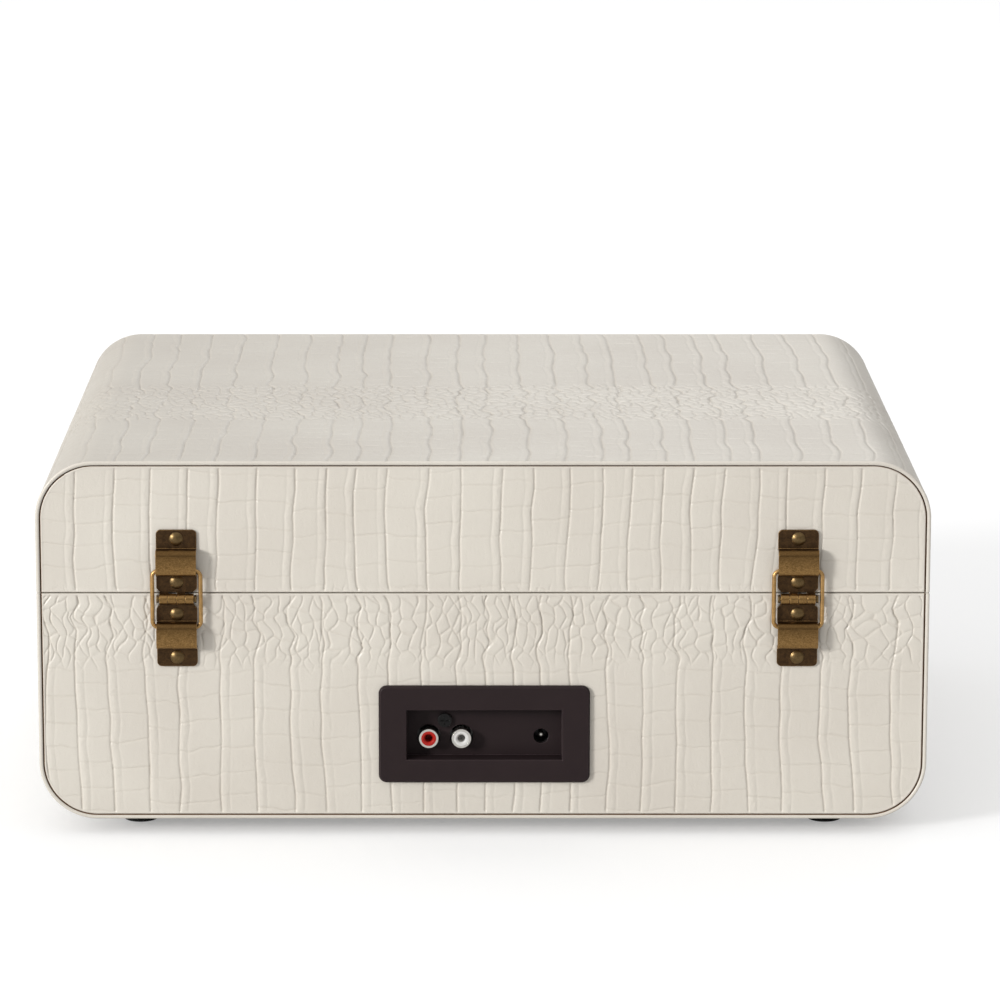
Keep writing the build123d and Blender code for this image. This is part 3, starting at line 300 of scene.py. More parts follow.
def contact_material():
    """Bright nickel shells; in the power socket the metal from 0.6 to 4 mm off its middle is darkened as painted shade,
    and the pin's tip is left bright as a painted highlight.
    """
    g = Graph("contact_metal")
    low, high = box_mm("dc_jack")
    x, y, z = g.axes()
    off_x = g.math("SUBTRACT", x, float(low[0] + high[0]) / 2)
    off_z = g.math("SUBTRACT", z, float(low[2] + high[2]) / 2)
    from_pin = g.math("SQRT", g.math("ADD", g.math("MULTIPLY", off_x, off_x), g.math("MULTIPLY", off_z, off_z)))
    grain = g.noise(0.3, 3)
    # painted shade inside the power socket, fading out from 4 to 5 mm; the middle 0.35 mm, the pin's tip, stays bright
    # as a painted highlight
    socket_painted_shade = g.math("MULTIPLY", g.span(from_pin, 0.35, 0.6), g.span(from_pin, 4.0, 5.0, 1, 0))
    bright = g.blend(grain, rgba(196, 193, 186), rgba(226, 223, 217))
    tone = g.blend(socket_painted_shade, bright, g.blend(grain, rgba(44, 42, 40), rgba(66, 63, 60)))
    return g.finish(
        Base_Color=tone,
        Metallic=1.0,
        Roughness=g.span(g.noise(6, 3), 0.2, 0.8, 0.16, 0.3),
        Normal=g.bump(grain, 0.006, g.rounded(0.15)),
    )


def felt_material(name, dark, light, ring_mm=None):
    g = Graph(name)
    fibre = g.noise(0.5, 5, roughness=0.75)
    patch = g.noise(12, 3)
    tone = g.blend(g.span(fibre, 0.3, 0.7), rgba(*dark), rgba(*light))
    tone = g.blend(g.math("MULTIPLY", patch, 0.3), tone, rgba(*light))
    return g.finish(
        Base_Color=tone,
        Roughness=0.96,
        Sheen_Weight=0.35,
        Sheen_Roughness=0.5,
        Normal=g.bump(fibre, 0.15),
    )


def circuit_material(name, track, ground):
    """Circuit board: a glossy solder mask with copper tracks showing under it."""
    g = Graph(name)
    tracks = g.cells(3.2, "DISTANCE_TO_EDGE", (2.5, 1, 1))
    mask = g.blend(g.span(tracks, 0.10, 0.16), rgba(*track), rgba(*ground))
    return g.finish(Base_Color=mask, Roughness=0.35, Coat_Weight=0.4, Normal=g.bump(g.span(tracks, 0.1, 0.16, 1, 0), 0.03))


def paper_cone_material():
    g = Graph("paper_cone")
    fibre = g.noise(0.8, 5, (1, 1, 1), 0.7)
    tone = g.blend(fibre, rgba(30, 29, 28), rgba(62, 59, 56))
    return g.finish(Base_Color=tone, Roughness=0.85, Normal=g.bump(fibre, 0.15))


def thread_material():
    g = Graph("waxed_thread")
    twist = g.noise(0.3, 2, (2, 1, 1))
    return g.finish(
        Base_Color=g.blend(twist, rgba(150, 128, 98), rgba(186, 164, 130)), Roughness=0.6, Normal=g.bump(twist, 0.05)
    )


def leather_material():
    g = Graph("grip_leather")
    grain = g.cells(1.1, "DISTANCE_TO_EDGE")
    crease = g.noise(4, 3, (3, 1, 1))
    tone = g.blend(g.noise(9, 3), rgba(204, 196, 184), rgba(188, 179, 164))
    tone = g.blend(g.span(grain, 0.0, 0.12, 0.5, 0.0), tone, rgba(138, 124, 104))
    return g.finish(
        Base_Color=tone,
        Roughness=g.span(crease, 0.3, 0.7, 0.42, 0.56),
        Normal=g.bump(g.span(grain, 0.0, 0.25), 0.12, g.bump(crease, 0.2)),
    )


# ------------------------------------------------------------------ embossed skin


def value_noise(u, v, size_u, size_v, seed):
    """Smooth noise from -1 to 1 on a lattice of the given cell size."""
    table = np.random.default_rng(seed).uniform(-1, 1, (67, 71))
    a, b = u / size_u, v / size_v
    i, j = np.floor(a).astype(int), np.floor(b).astype(int)
    s, t = a - i, b - j
    s, t = s * s * (3 - 2 * s), t * t * (3 - 2 * t)

    def at(di, dj):
        return table[(i + di) % 67, (j + dj) % 71]

    low = at(0, 0) * (1 - s) + at(1, 0) * s
    high = at(0, 1) * (1 - s) + at(1, 1) * s
    return low * (1 - t) + high * t


def smooth_step(x, low, high):
    t = np.clip((x - low) / (high - low), 0, 1)
    return t * t * (3 - 2 * t)


def groove_profile(distance, width):
    return np.exp(-((distance / width) ** 2))


class Skin:
    """Reptile-grain emboss in millimetres: strips along v, crossed by hairlines, with bands of small scales.

    across and along are (low, high) ranges of the two coordinates; bands lists (low, high) ranges of v in
    which the strips wander, fork and break into small scales; side is +1 or -1, the side of each crease
    that has the soft fold.
    """

    step = 0.25  # spacing of the table of strip edges along v

    def __init__(self, seed, across, along, bands=(), side=1, sharp=0.40, depth=0.50, ribs=0.0):
        rng = np.random.default_rng(seed)
        self.seed, self.side, self.sharp, self.depth, self.ribs = seed, side, sharp, depth, ribs
        self.bands = bands
        self.low = along[0] - 20
        rows = np.arange(self.low, along[1] + 20, self.step)
        wild = self.share_of_scales(rows * 0, rows, ragged=False)
        edge, self.edges = across[0] - 30, []
        sway = 1.6 * value_noise(rows * 0, rows, 10, 62, seed + 1) + 0.7 * value_noise(rows * 0, rows, 10, 23, seed + 2)
        while edge < across[1] + 30:
            knots = np.arange(rows[0], rows[-1] + 12, 11.0) + rng.uniform(-2.5, 2.5)
            kinks = np.interp(rows, knots, rng.uniform(-0.6, 0.6, len(knots)))
            close = np.arange(rows[0], rows[-1] + 9, 6.0) + rng.uniform(-1.5, 1.5)
            wander = wild * np.interp(rows, close, rng.uniform(-2.4, 2.4, len(close)))
            drift = 1.6 * value_noise(rows * 0 + edge, rows, 40, 48, seed + 3)
            curve = edge + sway + drift + kinks + wander
            window = np.hanning(9) / np.hanning(9).sum()
            self.edges.append(np.convolve(np.pad(curve, 4, "edge"), window, "valid"))
            edge += rng.uniform(11.5, 17.6)
        self.phase = rng.uniform(0, 1, len(self.edges) + 2)
        self.tilt = rng.uniform(-0.15, 0.15, len(self.edges) + 2)

    def share_of_scales(self, u, v, ragged=True):
        """How fully each point lies in a band of small scales, from 0 to 1."""
        if ragged:
            v = v + 2.6 * value_noise(u, v, 9, 9, self.seed + 11) + 1.4 * value_noise(u, v, 4, 4, self.seed + 12)
        mask = v * 0
        for low, high in self.bands:
            mask = np.maximum(mask, smooth_step(v, low - 4, low + 7) * (1 - smooth_step(v, high - 7, high + 4)))
        return mask

    def strips(self, u, v):
        """Each point's strip number, and its distances from the strip's two edges."""
        place = np.clip((v - self.low) / self.step, 0, len(self.edges[0]) - 1.001)
        row = place.astype(int)
        part = place - row
        number = np.zeros(len(u), int)
        left, right = np.full(len(u), 99.0), np.full(len(u), 99.0)
        for edge in self.edges:
            gap = u - edge[row] * (1 - part) - edge[row + 1] * part
            number += gap > 0
            left = np.where((gap > 0) & (gap < left), gap, left)
            right = np.where((gap <= 0) & (-gap < right), -gap, right)
        return number, left, right

    def scales(self, across, along):
        """Distance from the nearest edge of a staggered, jittered mosaic with unit cells, and that edge's strength."""
        table = np.random.default_rng(self.seed + 9).uniform(-0.42, 0.42, (83, 89, 2))
        i, j = np.floor(across).astype(int), np.floor(along).astype(int)
        seeds = []
        for di in (-1, 0, 1):
            column = i + di
            stagger = 0.5 * (column % 2)
            for dj in (-1, 0, 1):
                line = np.floor(along - stagger).astype(int) + dj
                shift = table[column % 83, line % 89]
                seeds.append((column + 0.5 + shift[:, 0], line + 0.5 + stagger + shift[:, 1]))
        seeds = np.array(seeds)
        gaps = seeds - np.array([across, along])
        near = np.argmin((gaps**2).sum(1), 0)
        nearest = seeds[near, :, np.arange(len(near))].T
        best, strength = np.full(len(across), 9.0), np.zeros(len(across))
        for seed in seeds:
            apart = seed - nearest
            size = np.sqrt((apart**2).sum(0))
            middle = (seed + nearest) / 2 - np.array([across, along])
            reach = (middle * apart).sum(0) / np.maximum(size, 1e-6)
            better = (size > 1e-3) & (reach < best)
            steep = np.abs(apart[0]) / np.maximum(size, 1e-6)
            mixed = np.mod(np.abs(np.sin((seed + nearest).sum(0) * 41.7)) * 7.3, 1.0)
            strength = np.where(better, 0.16 + 0.50 * steep + 0.30 * mixed, strength)
            best = np.where(better, reach, best)
        return best, strength

    def height(self, u, v):
        """(height, groove) at each point: height in millimetres, never above 0, and groove from 0 to 1."""
        number, left, right = self.strips(u, v)
        wide = left + right
        inside = left / np.maximum(wide, 1e-6)
        nearest = np.minimum(left, right)
        share = self.share_of_scales(u, v)
        fold = left if self.side > 0 else right
        crease = groove_profile(nearest, self.sharp)
        strength = 0.72 + 0.28 * value_noise(number * 5.3 + 0.0, v, 1, 14, self.seed + 15)
        crown = 0.12 * np.sqrt(np.clip(4 * inside * (1 - inside), 0, 1))
        beads = 0.5 + 0.5 * value_noise(u, v, 1.0, 1.3, self.seed + 4)
        fold = fold + 0.5 * value_noise(number * 3.1 + 0.0, v, 1, 8, self.seed + 17)
        lively = 0.62 + 0.38 * value_noise(number * 9.7 + 0.0, v, 1, 17, self.seed + 18)
        ridge = lively * (0.07 + 0.15 * beads) * groove_profile(fold - 2.0, 1.0)
        trough = lively * 0.14 * groove_profile(fold - 3.8, 0.42)
        wrinkle = 0.03 * value_noise(u, v, 1.6, 0.8, self.seed + 16) * groove_profile(fold - 2.6, 1.6)
        streak = 0.010 * value_noise(u, v, 0.8, 6.0, self.seed + 5)
        line = (v - self.tilt[number] * (u - wide / 2)) / 11.2 + self.phase[number]
        line += 0.06 * value_noise(u, v, 5, 9, self.seed + 6) + 0.2 * value_noise(u * 0 + number * 3.7, v, 1, 17, self.seed + 7)
        off_line = np.abs(line - np.round(line)) * 11.2
        faint = 0.7 + 0.3 * value_noise(number * 7.3 + 0.0, np.round(line) * 5.1, 1, 1, self.seed + 8)
        hair = faint * groove_profile(off_line, 0.32)
        rib = self.ribs * np.sin(2 * np.pi * (v + 0.5 * value_noise(u, v, 6, 9, self.seed + 10)) / 2.3)
        calm = 1 - share
        total = crown - self.depth * strength * crease + calm * (ridge - trough + wrinkle - 0.26 * hair) + streak + rib * (1 - crease)
        groove = np.maximum(crease * strength, 0.5 * hair * calm)
        some = share > 0.001
        if some.any():
            some_u, some_v = u[some], v[some]
            cells_across = 3 * (number[some] + inside[some]) + 0.35 * value_noise(some_u, some_v, 6, 6, self.seed + 13)
            cells_along = some_v / 7.0 + 0.35 * value_noise(some_u, some_v, 8, 7, self.seed + 14)
            edge, force = self.scales(cells_across, cells_along)
            edge = 5.4 * edge
            small_crease = force * groove_profile(edge, self.sharp * 0.8)
            part = share[some]
            small = 0.15 * np.sqrt(np.clip(edge / 2.6, 0, 1)) - 0.8 * self.depth * small_crease
            total[some] += part * (small - 0.04)
            groove[some] = np.maximum(groove[some], 0.8 * small_crease * part)
        return np.minimum(total - 0.22, 0), np.clip(groove, 0, 1)


# ------------------------------------------------------------------ meshes


def make_mesh(name, points_mm, faces, materials, smooth=True):
    """A mesh object from millimetre points. faces is a list of (array of equal-length faces, material index)."""
    mesh = bpy.data.meshes.new(name)
    points = np.asarray(points_mm, np.float32) * MM
    loops = np.concatenate([np.asarray(f, np.int32).ravel() for f, _ in faces])
    sizes = np.concatenate([np.full(len(f), np.asarray(f).shape[1], np.int32) for f, _ in faces])
    slots = np.concatenate([np.full(len(f), slot, np.int32) for f, slot in faces])
    mesh.vertices.add(len(points))
    mesh.vertices.foreach_set("co", points.ravel())
    mesh.loops.add(len(loops))
    mesh.loops.foreach_set("vertex_index", loops)
    mesh.polygons.add(len(sizes))
    mesh.polygons.foreach_set("loop_start", np.concatenate([[0], np.cumsum(sizes)[:-1]]).astype(np.int32))
    mesh.polygons.foreach_set("material_index", slots)
    mesh.polygons.foreach_set("use_smooth", np.full(len(sizes), smooth))
    mesh.update(calc_edges=True)
    mesh.validate()
    for material in materials:
        mesh.materials.append(material)
    made = bpy.data.objects.new(name, mesh)
    bpy.context.scene.collection.objects.link(made)
    return made


def set_groove(piece, values):
    attribute = piece.data.attributes.new("groove", "FLOAT", "POINT")
    attribute.data.foreach_set("value", np.asarray(values, np.float32))


def grid_faces(rows, columns, start=0, around=False, flip=False):
    """Quads of a rows x columns grid of vertices; around joins the last column to the first."""
    i = np.arange(rows - 1)[:, None]
    j = np.arange(columns if around else columns - 1)[None, :]
    k = (j + 1) % columns
    quads = np.stack([i * columns + j + 0 * k, i * columns + k, (i + 1) * columns + k, (i + 1) * columns + j], -1)
    quads = quads.reshape(-1, 4) + start
    return quads[:, ::-1] if flip else quads


ROUND_MM = 0.75
ROLL = np.array([0.0, 0.06, 0.22, 0.5, 0.85]) * ROUND_MM


def spread(low, high, step, ends=(True, True)):
    """Values from low to high about step apart, crowded near the ends that roll over."""
    inner_low = low + (ROUND_MM if ends[0] else 0)
    inner_high = high - (ROUND_MM if ends[1] else 0)
    middle = np.linspace(inner_low, inner_high, max(2, int(round((inner_high - inner_low) / step)) + 1))
    head = low + ROLL if ends[0] else []
    tail = (high - ROLL)[::-1] if ends[1] else []
    return np.concatenate([head, middle, tail])


def rolled(distance):
    """How far a rounded border falls at a distance from its edge."""
    gap = np.clip(ROUND_MM - distance, 0, ROUND_MM)
    return ROUND_MM - np.sqrt(np.maximum(ROUND_MM**2 - gap**2, 0))


def loop_of(index):
    """The vertices round a block of a grid, once round from its first corner."""
    return np.concatenate([index[:, 0], index[-1, 1:], index[-2::-1, -1], index[0, -2:0:-1]])


def run_of(loop, start, end):
    """The stretch of a closed loop from one of its vertices to another."""
    first = int(np.flatnonzero(loop == start)[0])
    turned = np.roll(loop, -first)
    return turned[: int(np.flatnonzero(turned == end)[0]) + 1]


def end_panel(name, body, outward, z_split, z_far, skin, step, materials, opening=None, inset=None, face=None):
    """One end sheet: a grid that follows the case's rounded outline, with relief and a painted edge.

    opening is (half width, lowest z, highest z) of a rectangular cut-out. inset is how far the sheet's
    outline lies inside the case's. face is (distance of its face from the middle plane along outward,
    thickness); without it the sheet is an outside covering.
    """
    inset = PANEL_INSET_MM if inset is None else inset
    face_y, thickness = face or (HALF_Y, PANEL_MM)
    half = HALF_X - inset
    radius = CORNER_MM - inset
    up = 1 if z_far > z_split else -1
    far = z_far - up * inset
    flat = half - radius
    turns = np.linspace(0, math.pi / 2, max(8, int(radius * math.pi / 2 / step)))
    bend = flat + radius * np.sin(turns)
    flats = np.linspace(-flat, flat, int(2 * flat / step))
    xs = np.concatenate([-bend[::-1], flats[1:-1], bend])
    ends = np.concatenate([(1 - np.cos(turns))[::-1], 0 * flats[1:-1], 1 - np.cos(turns)]) * radius
    tall = abs(far - z_split) - ends
    share = spread(0, abs(far - z_split), 1.2 * step) / abs(far - z_split)
    hole = None
    if opening:
        half_hole, *hole_z = opening
        columns = [int(np.argmin(np.abs(xs - x))) for x in (-half_hole, half_hole)]
        xs[columns] = (-half_hole, half_hole)
        levels = sorted(abs(z - z_split) / abs(far - z_split) for z in hole_z)
        lines = [int(np.argmin(np.abs(share - level))) for level in levels]
        share[lines] = levels
        hole = (columns, lines)
    u, v = np.meshgrid(xs, share, indexing="ij")
    z = z_split + up * v * tall[:, None]
    corner_gap = np.hypot(np.maximum(np.abs(u) - flat, 0), np.maximum(up * z - (up * far - radius), 0))
    in_corner = (np.abs(u) > flat) & (up * z > up * far - radius)
    gap = np.minimum(half - np.abs(u), np.minimum(up * (far - z), up * (z - z_split)))
    gap = np.maximum(np.where(in_corner, np.minimum(radius - corner_gap, up * (z - z_split)), gap), 0)
    height, groove = skin.height(u.ravel(), z.ravel())
    settle = smooth_step(gap.ravel(), 0.3, 1.6)
    drop = height * settle - rolled(gap.ravel())
    depth = face_y + np.maximum(drop, -thickness + 0.15)
    front = np.stack([u.ravel(), outward * depth, z.ravel()], 1)
    rows, columns = u.shape
    index = np.arange(rows * columns).reshape(rows, columns)
    facing = (outward > 0) == (up > 0)
    turn = -1 if facing else 1
    quads = grid_faces(rows, columns, flip=not facing)
    loops = [loop_of(index)]
    if hole:
        (left, right), (near, beyond) = hole
        kept = np.ones((rows - 1, columns - 1), bool)
        kept[left:right, near:beyond] = False
        quads = quads[kept.ravel()]
        loops.append(loop_of(index[left : right + 1, near : beyond + 1])[::-1])
    border = np.concatenate(loops)
    behind = np.full(len(front), -1)
    behind[border] = len(front) + np.arange(len(border))
    back = front[border].copy()
    back[:, 1] = outward * (face_y - thickness)
    walls = [np.stack([loop, behind[loop], np.roll(behind[loop], -1), np.roll(loop, -1)], 1) for loop in loops]
    seam_gap = np.where(in_corner, radius - corner_gap, np.minimum(half - np.abs(u), up * (far - z)))
    painted = seam_gap.ravel()[quads].max(1) < 0.3
    faces = [(quads[~painted], 0), (quads[painted], 1)]
    for wall in walls:
        at_split = np.abs(front[wall[:, [0, 3]], 2] - z_split).max(1) < 0.01
        faces += [(wall[at_split, ::turn], 0), (wall[~at_split, ::turn], 1)]
    if hole:
        middle = rows // 2
        low, high = index[middle, 0], index[middle, -1]
        hole_low, hole_high = index[middle, near], index[middle, beyond]
        one = np.concatenate([run_of(loops[0], low, high), run_of(loops[1], hole_high, hole_low)])
        two = np.concatenate([run_of(loops[0], high, low), run_of(loops[1], hole_low, hole_high)])
        faces += [(behind[half][None, ::-turn], 1) for half in (one, two)]
    else:
        faces.append((behind[border][None, ::-turn], 1))
    piece = make_mesh(name, np.vstack([front, back]), faces, materials)
    set_groove(piece, np.concatenate([groove * settle, np.zeros(len(back))]))
    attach(piece, body)
    return piece


def outline_at(length, half_flat, up, z_far, corner=CORNER_MM):
    """Point and outward direction on the tube's outline, by length along it from the middle of its far side."""
    side = np.sign(length)
    run = np.abs(length)
    arc = corner * math.pi / 2
    angle = np.clip((run - half_flat) / corner, 0, math.pi / 2)
    along = np.minimum(run, half_flat)
    fall = np.maximum(run - half_flat - arc, 0)
    x = side * (along + corner * np.sin(angle))
    z = z_far - up * (corner * (1 - np.cos(angle)) + fall)
    return x, z, side * np.sin(angle), up * np.cos(angle)


def wrap(name, body, z_split, z_far, skin, step_s, step_y, materials):
    """The tube's covering: embossed outside, rolled round the two rims, plain inside, open at the split."""
    up = 1 if z_far > z_split else -1
    half_flat = HALF_X - CORNER_MM
    total = half_flat + CORNER_MM * math.pi / 2 + abs(z_far - z_split) - CORNER_MM
    s = spread(-total, total, step_s)
    y = spread(-HALF_Y, HALF_Y, step_y)
    ss, yy = np.meshgrid(s, y, indexing="ij")
    x, z, nx, nz = outline_at(ss, half_flat, up, z_far)
    height, groove = skin.height(ss.ravel(), yy.ravel())
    gap_y = HALF_Y - np.abs(yy)
    gap_s = total - np.abs(ss)
    settle = smooth_step(gap_y, 0.2, 2.0) * smooth_step(gap_s, 0.2, 1.4)
    drop = height.reshape(ss.shape) * settle - rolled(gap_y) - 0.35 * rolled(gap_s)
    drop = np.maximum(drop, 0.12 - WRAP_MM)
    outer = np.stack([x + nx * drop, yy, z + nz * drop], -1)
    inner = np.stack([x - nx * WRAP_MM, yy, z - nz * WRAP_MM], -1)[:, [-1, 0]]
    ring = np.concatenate([outer, inner], 1)
    rows, columns = ring.shape[:2]
    caps = np.arange(columns)
    quads = grid_faces(rows, columns, around=True, flip=up > 0)
    inside = (quads % columns >= len(y)).all(1)
    faces = [
        (quads[~inside], 0),
        (quads[inside], 1),
        (caps[None, :: (1 if up > 0 else -1)], 0),
        (((rows - 1) * columns + caps)[None, :: (-1 if up > 0 else 1)], 0),
    ]
    piece = make_mesh(name, ring.reshape(-1, 3), faces, materials)
    values = np.zeros((rows, columns))
    values[:, : len(y)] = groove.reshape(ss.shape) * settle
    set_groove(piece, values.ravel())
    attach(piece, body)
    return piece


def coverings():
    """Every covering of the case, from its skin pattern and its place."""
    vinyl = [vinyl_material(), edge_paint_material()]
    fine, coarse = ((0.33, 0.6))
    side = (-HALF_X, HALF_X)
    lid_z = (SPLIT_HIGH_Z, CASE_TOP_Z)
    base_z = (CASE_LOW_Z, SPLIT_LOW_Z)
    rear_lid = Skin(11, side, lid_z, [(SPLIT_HIGH_Z - 9, SPLIT_HIGH_Z + 1)], side=1)
    rear_base = Skin(23, side, base_z, [(SPLIT_LOW_Z - 31, SPLIT_LOW_Z + 9)], side=-1)
    front_lid = Skin(37, side, lid_z, [(SPLIT_HIGH_Z + 30, SPLIT_HIGH_Z + 70)], side=-1, sharp=0.45)
    front_base = Skin(41, side, base_z, [], side=1, sharp=0.45)
    rear = end_panel("lid_rear_covering", "lid", 1, SPLIT_HIGH_Z, CASE_TOP_Z, rear_lid, fine, vinyl)
    front = end_panel("lid_front_covering", "lid", -1, SPLIT_HIGH_Z, CASE_TOP_Z, front_lid, coarse, vinyl)
    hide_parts("lid_end_vinyls")
    socket_opening = (HOLE_HIGH[0], HOLE_LOW[2], HOLE_HIGH[2])
    low_rear = end_panel("base_rear_covering", "case", 1, SPLIT_LOW_Z, CASE_LOW_Z, rear_base, fine, vinyl, socket_opening)
    low_front = end_panel("base_front_covering", "case", -1, SPLIT_LOW_Z, CASE_LOW_Z, front_base, coarse, vinyl)
    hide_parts("base_rear_vinyl")
    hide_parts("base_front_vinyl")
    around_lid = 260.0
    top = Skin(
        5, (-around_lid, around_lid), (-HALF_Y, HALF_Y), [(HALF_Y - 181, HALF_Y - 94)], side=1, sharp=0.42, ribs=0.02
    )
    bottom = Skin(7, (-320, 320), (-HALF_Y, HALF_Y), [(HALF_Y - 190, HALF_Y - 100)], side=1, sharp=0.55)
    lid = wrap("lid_wrap_covering", "lid", SPLIT_HIGH_Z, CASE_TOP_Z, top, 0.5 if fine < 1 else 2, 0.85 if fine < 1 else 2, vinyl)
    base = wrap("base_wrap_covering", "case", SPLIT_LOW_Z, CASE_LOW_Z, bottom, 0.8 if fine < 1 else 3, 1.0 if fine < 1 else 3, vinyl)
    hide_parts("lid_wrap_vinyl")
    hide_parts("base_wrap_vinyl")


class Nap:
    """The relief of thin flocked cloth glued to board: slow shallow waves, in millimetres."""

    def __init__(self, seed):
        self.seed = seed

    def height(self, u, v):
        slow = 0.12 * value_noise(u, v, 46, 38, self.seed) + 0.06 * value_noise(u, v, 13, 15, self.seed + 1)
        fine = 0.03 * value_noise(u, v, 3.1, 2.7, self.seed + 2)
        return slow + fine - 0.22, np.zeros(len(u))


def lid_lining():
    """The lid's flocked lining: one sheet round the walls and ceiling, and one on each end, over the first."""
    cloth = lining_material()
    low, high = box_mm("lid_lining")
    inset = HALF_X - high[0]
    corner = CORNER_MM - inset
    sheet = 0.6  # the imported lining's thickness
    step = 2.5
    nap = Nap(301)
    half_flat = high[0] - corner
    total = half_flat + corner * math.pi / 2 + high[2] - low[2] - corner
    s = spread(-total, total, step)
    y = spread(low[1], high[1], step)
    ss, yy = np.meshgrid(s, y, indexing="ij")
    x, z, nx, nz = outline_at(ss, half_flat, 1, high[2], corner)
    drop = nap.height(ss.ravel(), yy.ravel())[0].reshape(ss.shape) * smooth_step(total - np.abs(ss), 0, 2)
    lift = sheet + 0.9 * drop
    seen = np.stack([x - nx * lift, yy, z - nz * lift], -1)
    hidden = np.stack([x, yy, z], -1)[:, [-1, 0]]
    ring = np.concatenate([seen, hidden], 1)
    rows, columns = ring.shape[:2]
    caps = np.arange(columns)
    faces = [
        (grid_faces(rows, columns, around=True), 0),
        (caps[None, ::-1], 0),
        (((rows - 1) * columns + caps)[None], 0),
    ]
    around = make_mesh("lining_around", ring.reshape(-1, 3), faces, [cloth])
    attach(around, "lid")
    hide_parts("lid_lining")
    for name, outward in (("lining_rear_end", -1), ("lining_front_end", 1)):
        face = (sheet - high[1], sheet)
        end_panel(name, "lid", outward, low[2], CASE_TOP_Z, nap, step, [cloth, cloth], None, inset + sheet, face)


def joined_parts(parts):
    """Several (points, faces) shells as one list of points and one of faces."""
    points, faces, start = [], [], 0
    for shell_points, shell_faces in parts:
        points.append(shell_points)
        faces += [(np.asarray(f) + start, slot) for f, slot in shell_faces]
        start += len(shell_points)
    return np.vstack(points), faces


def swept(centres, sides, outs, halves, exponent=2.5, around=28, slot=0):
    """A closed shell: superellipses with the given half sizes along a path, and a flat cap at each end."""
    turn = np.linspace(0, 2 * math.pi, around, endpoint=False)
    c, s = np.cos(turn), np.sin(turn)
    a = np.sign(c) * np.abs(c) ** (2 / exponent)
    b = np.sign(s) * np.abs(s) ** (2 / exponent)
    rings = centres[:, None] + sides[:, None] * (halves[:, :1] * a)[:, :, None] + outs[:, None] * (halves[:, 1:] * b)[:, :, None]
    count = len(centres)
    first, last = np.arange(around), (count - 1) * around + np.arange(around)
    faces = [(grid_faces(count, around, around=True), slot), (first[None, ::-1], slot), (last[None], slot)]
    return rings.reshape(-1, 3), faces


def bead_along(start, end, radius, slot):
    """A short rounded stitch between two points, slightly sunk at its ends."""
    start, end = np.array(start, float), np.array(end, float)
    axis = (end - start) / np.linalg.norm(end - start)
    side = np.cross(axis, (0.0, 1.0, 0.0))
    if np.linalg.norm(side) < 0.1:
        side = np.cross(axis, (1.0, 0.0, 0.0))
    side /= np.linalg.norm(side)
    out = np.cross(axis, side)
    along = np.array([0, 0.12, 0.3, 0.7, 0.88, 1.0])
    radii = radius * np.array([0.35, 0.8, 1, 1, 0.8, 0.35])
    centres = start + along[:, None] * (end - start)
    one = np.ones((len(along), 1))
    return swept(centres, one * side, one * out, np.stack([radii, radii], 1), 2.0, 8, slot)


def handle_piece():
    """The padded grip: a stuffed, stitched roll bent down from the two pins, with a loop round each pin."""
    low, high = box_mm("handle_grip")
    pins_low, pins_high = box_mm("handle_brackets")
    y = (low[1] + high[1]) / 2
    loop_radius = (high[1] - low[1]) / 2 - 0.8
    pin_z = high[2] - loop_radius
    reach = high[0] - 5.0
    bar_z = low[2] + 4.4
    bend = 11.0
    turns = np.linspace(0, math.pi / 2, 14)
    down = [(reach, z) for z in np.linspace(pin_z - 2.5, bar_z + bend, 8)[:-1]]
    curve = [(reach - bend * (1 - math.cos(t)), bar_z + bend * (1 - math.sin(t))) for t in turns]
    half_path = np.array(down + curve)
    across = np.linspace(half_path[-1, 0], 0, 60)[1:-1]
    right = np.vstack([half_path, np.stack([across, 0 * across + bar_z], 1)])
    path = np.vstack([right, right[::-1] * (-1, 1)])
    centres = np.stack([path[:, 0], np.full(len(path), y), path[:, 1]], 1)
    ahead = np.gradient(centres, axis=0)
    ahead /= np.linalg.norm(ahead, axis=1)[:, None]
    outs = np.tile((0.0, 1.0, 0.0), (len(path), 1))
    sides = np.cross(outs, ahead)
    run = np.concatenate([[0], np.cumsum(np.linalg.norm(np.diff(centres, axis=0), axis=1))])
    middle = 1 - np.abs(run / run[-1] * 2 - 1)
    swell = smooth_step(middle, 0.0, 0.55)
    pinch = 0.12 * value_noise(run, run * 0, 5.5, 1, 77)
    halves = np.stack([3.9 + 0.9 * swell + pinch, 5.3 + 0.9 * swell + pinch], 1)
    parts = [swept(centres, sides, outs, halves, 2.6, 40)]
    for sign in (-1, 1):
        for edge in (-1, 1):
            offset = edge * (halves[:, 0] - 1.35)
            lift = halves[:, 1] * 0.985
            line = centres + sides * offset[:, None] + outs * (sign * lift)[:, None]
            for start in np.arange(14.0, run[-1] - 14.0, 3.4):
                ends = [[np.interp(start + d, run, line[:, k]) for k in range(3)] for d in (0.0, 2.4)]
                parts.append(bead_along(ends[0], ends[1], 0.34, 1))
        seam = centres + outs * (sign * halves[:, 1] * 0.0)[:, None] + sides * (sign * (halves[:, 0] + 0.12))[:, None]
        if sign > 0:
            parts.append(swept(seam, sides, outs, np.tile((0.35, 0.7), (len(seam), 1)), 2.0, 10, 0))
    for side in (-1, 1):
        parts.append(pin_loop(side * (reach), y, pin_z, loop_radius, 1.75, 4.9))
    leather, thread = leather_material(), thread_material()
    points, faces = joined_parts(parts)
    piece = make_mesh("handle_roll", points, faces, [leather, thread])
    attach(piece, "handle")
    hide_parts("handle_grip")


def pin_loop(x, y, z, outer, inner, half_width):
    """A ring of leather about the X axis, with softened edges."""
    profile = [(-half_width, inner), (-half_width, outer - 0.9), (-half_width + 0.9, outer), (half_width - 0.9, outer)]
    profile += [(half_width, outer - 0.9), (half_width, inner)]
    return turned(np.array(profile), (x, y, z), (1, 0, 0), 48)


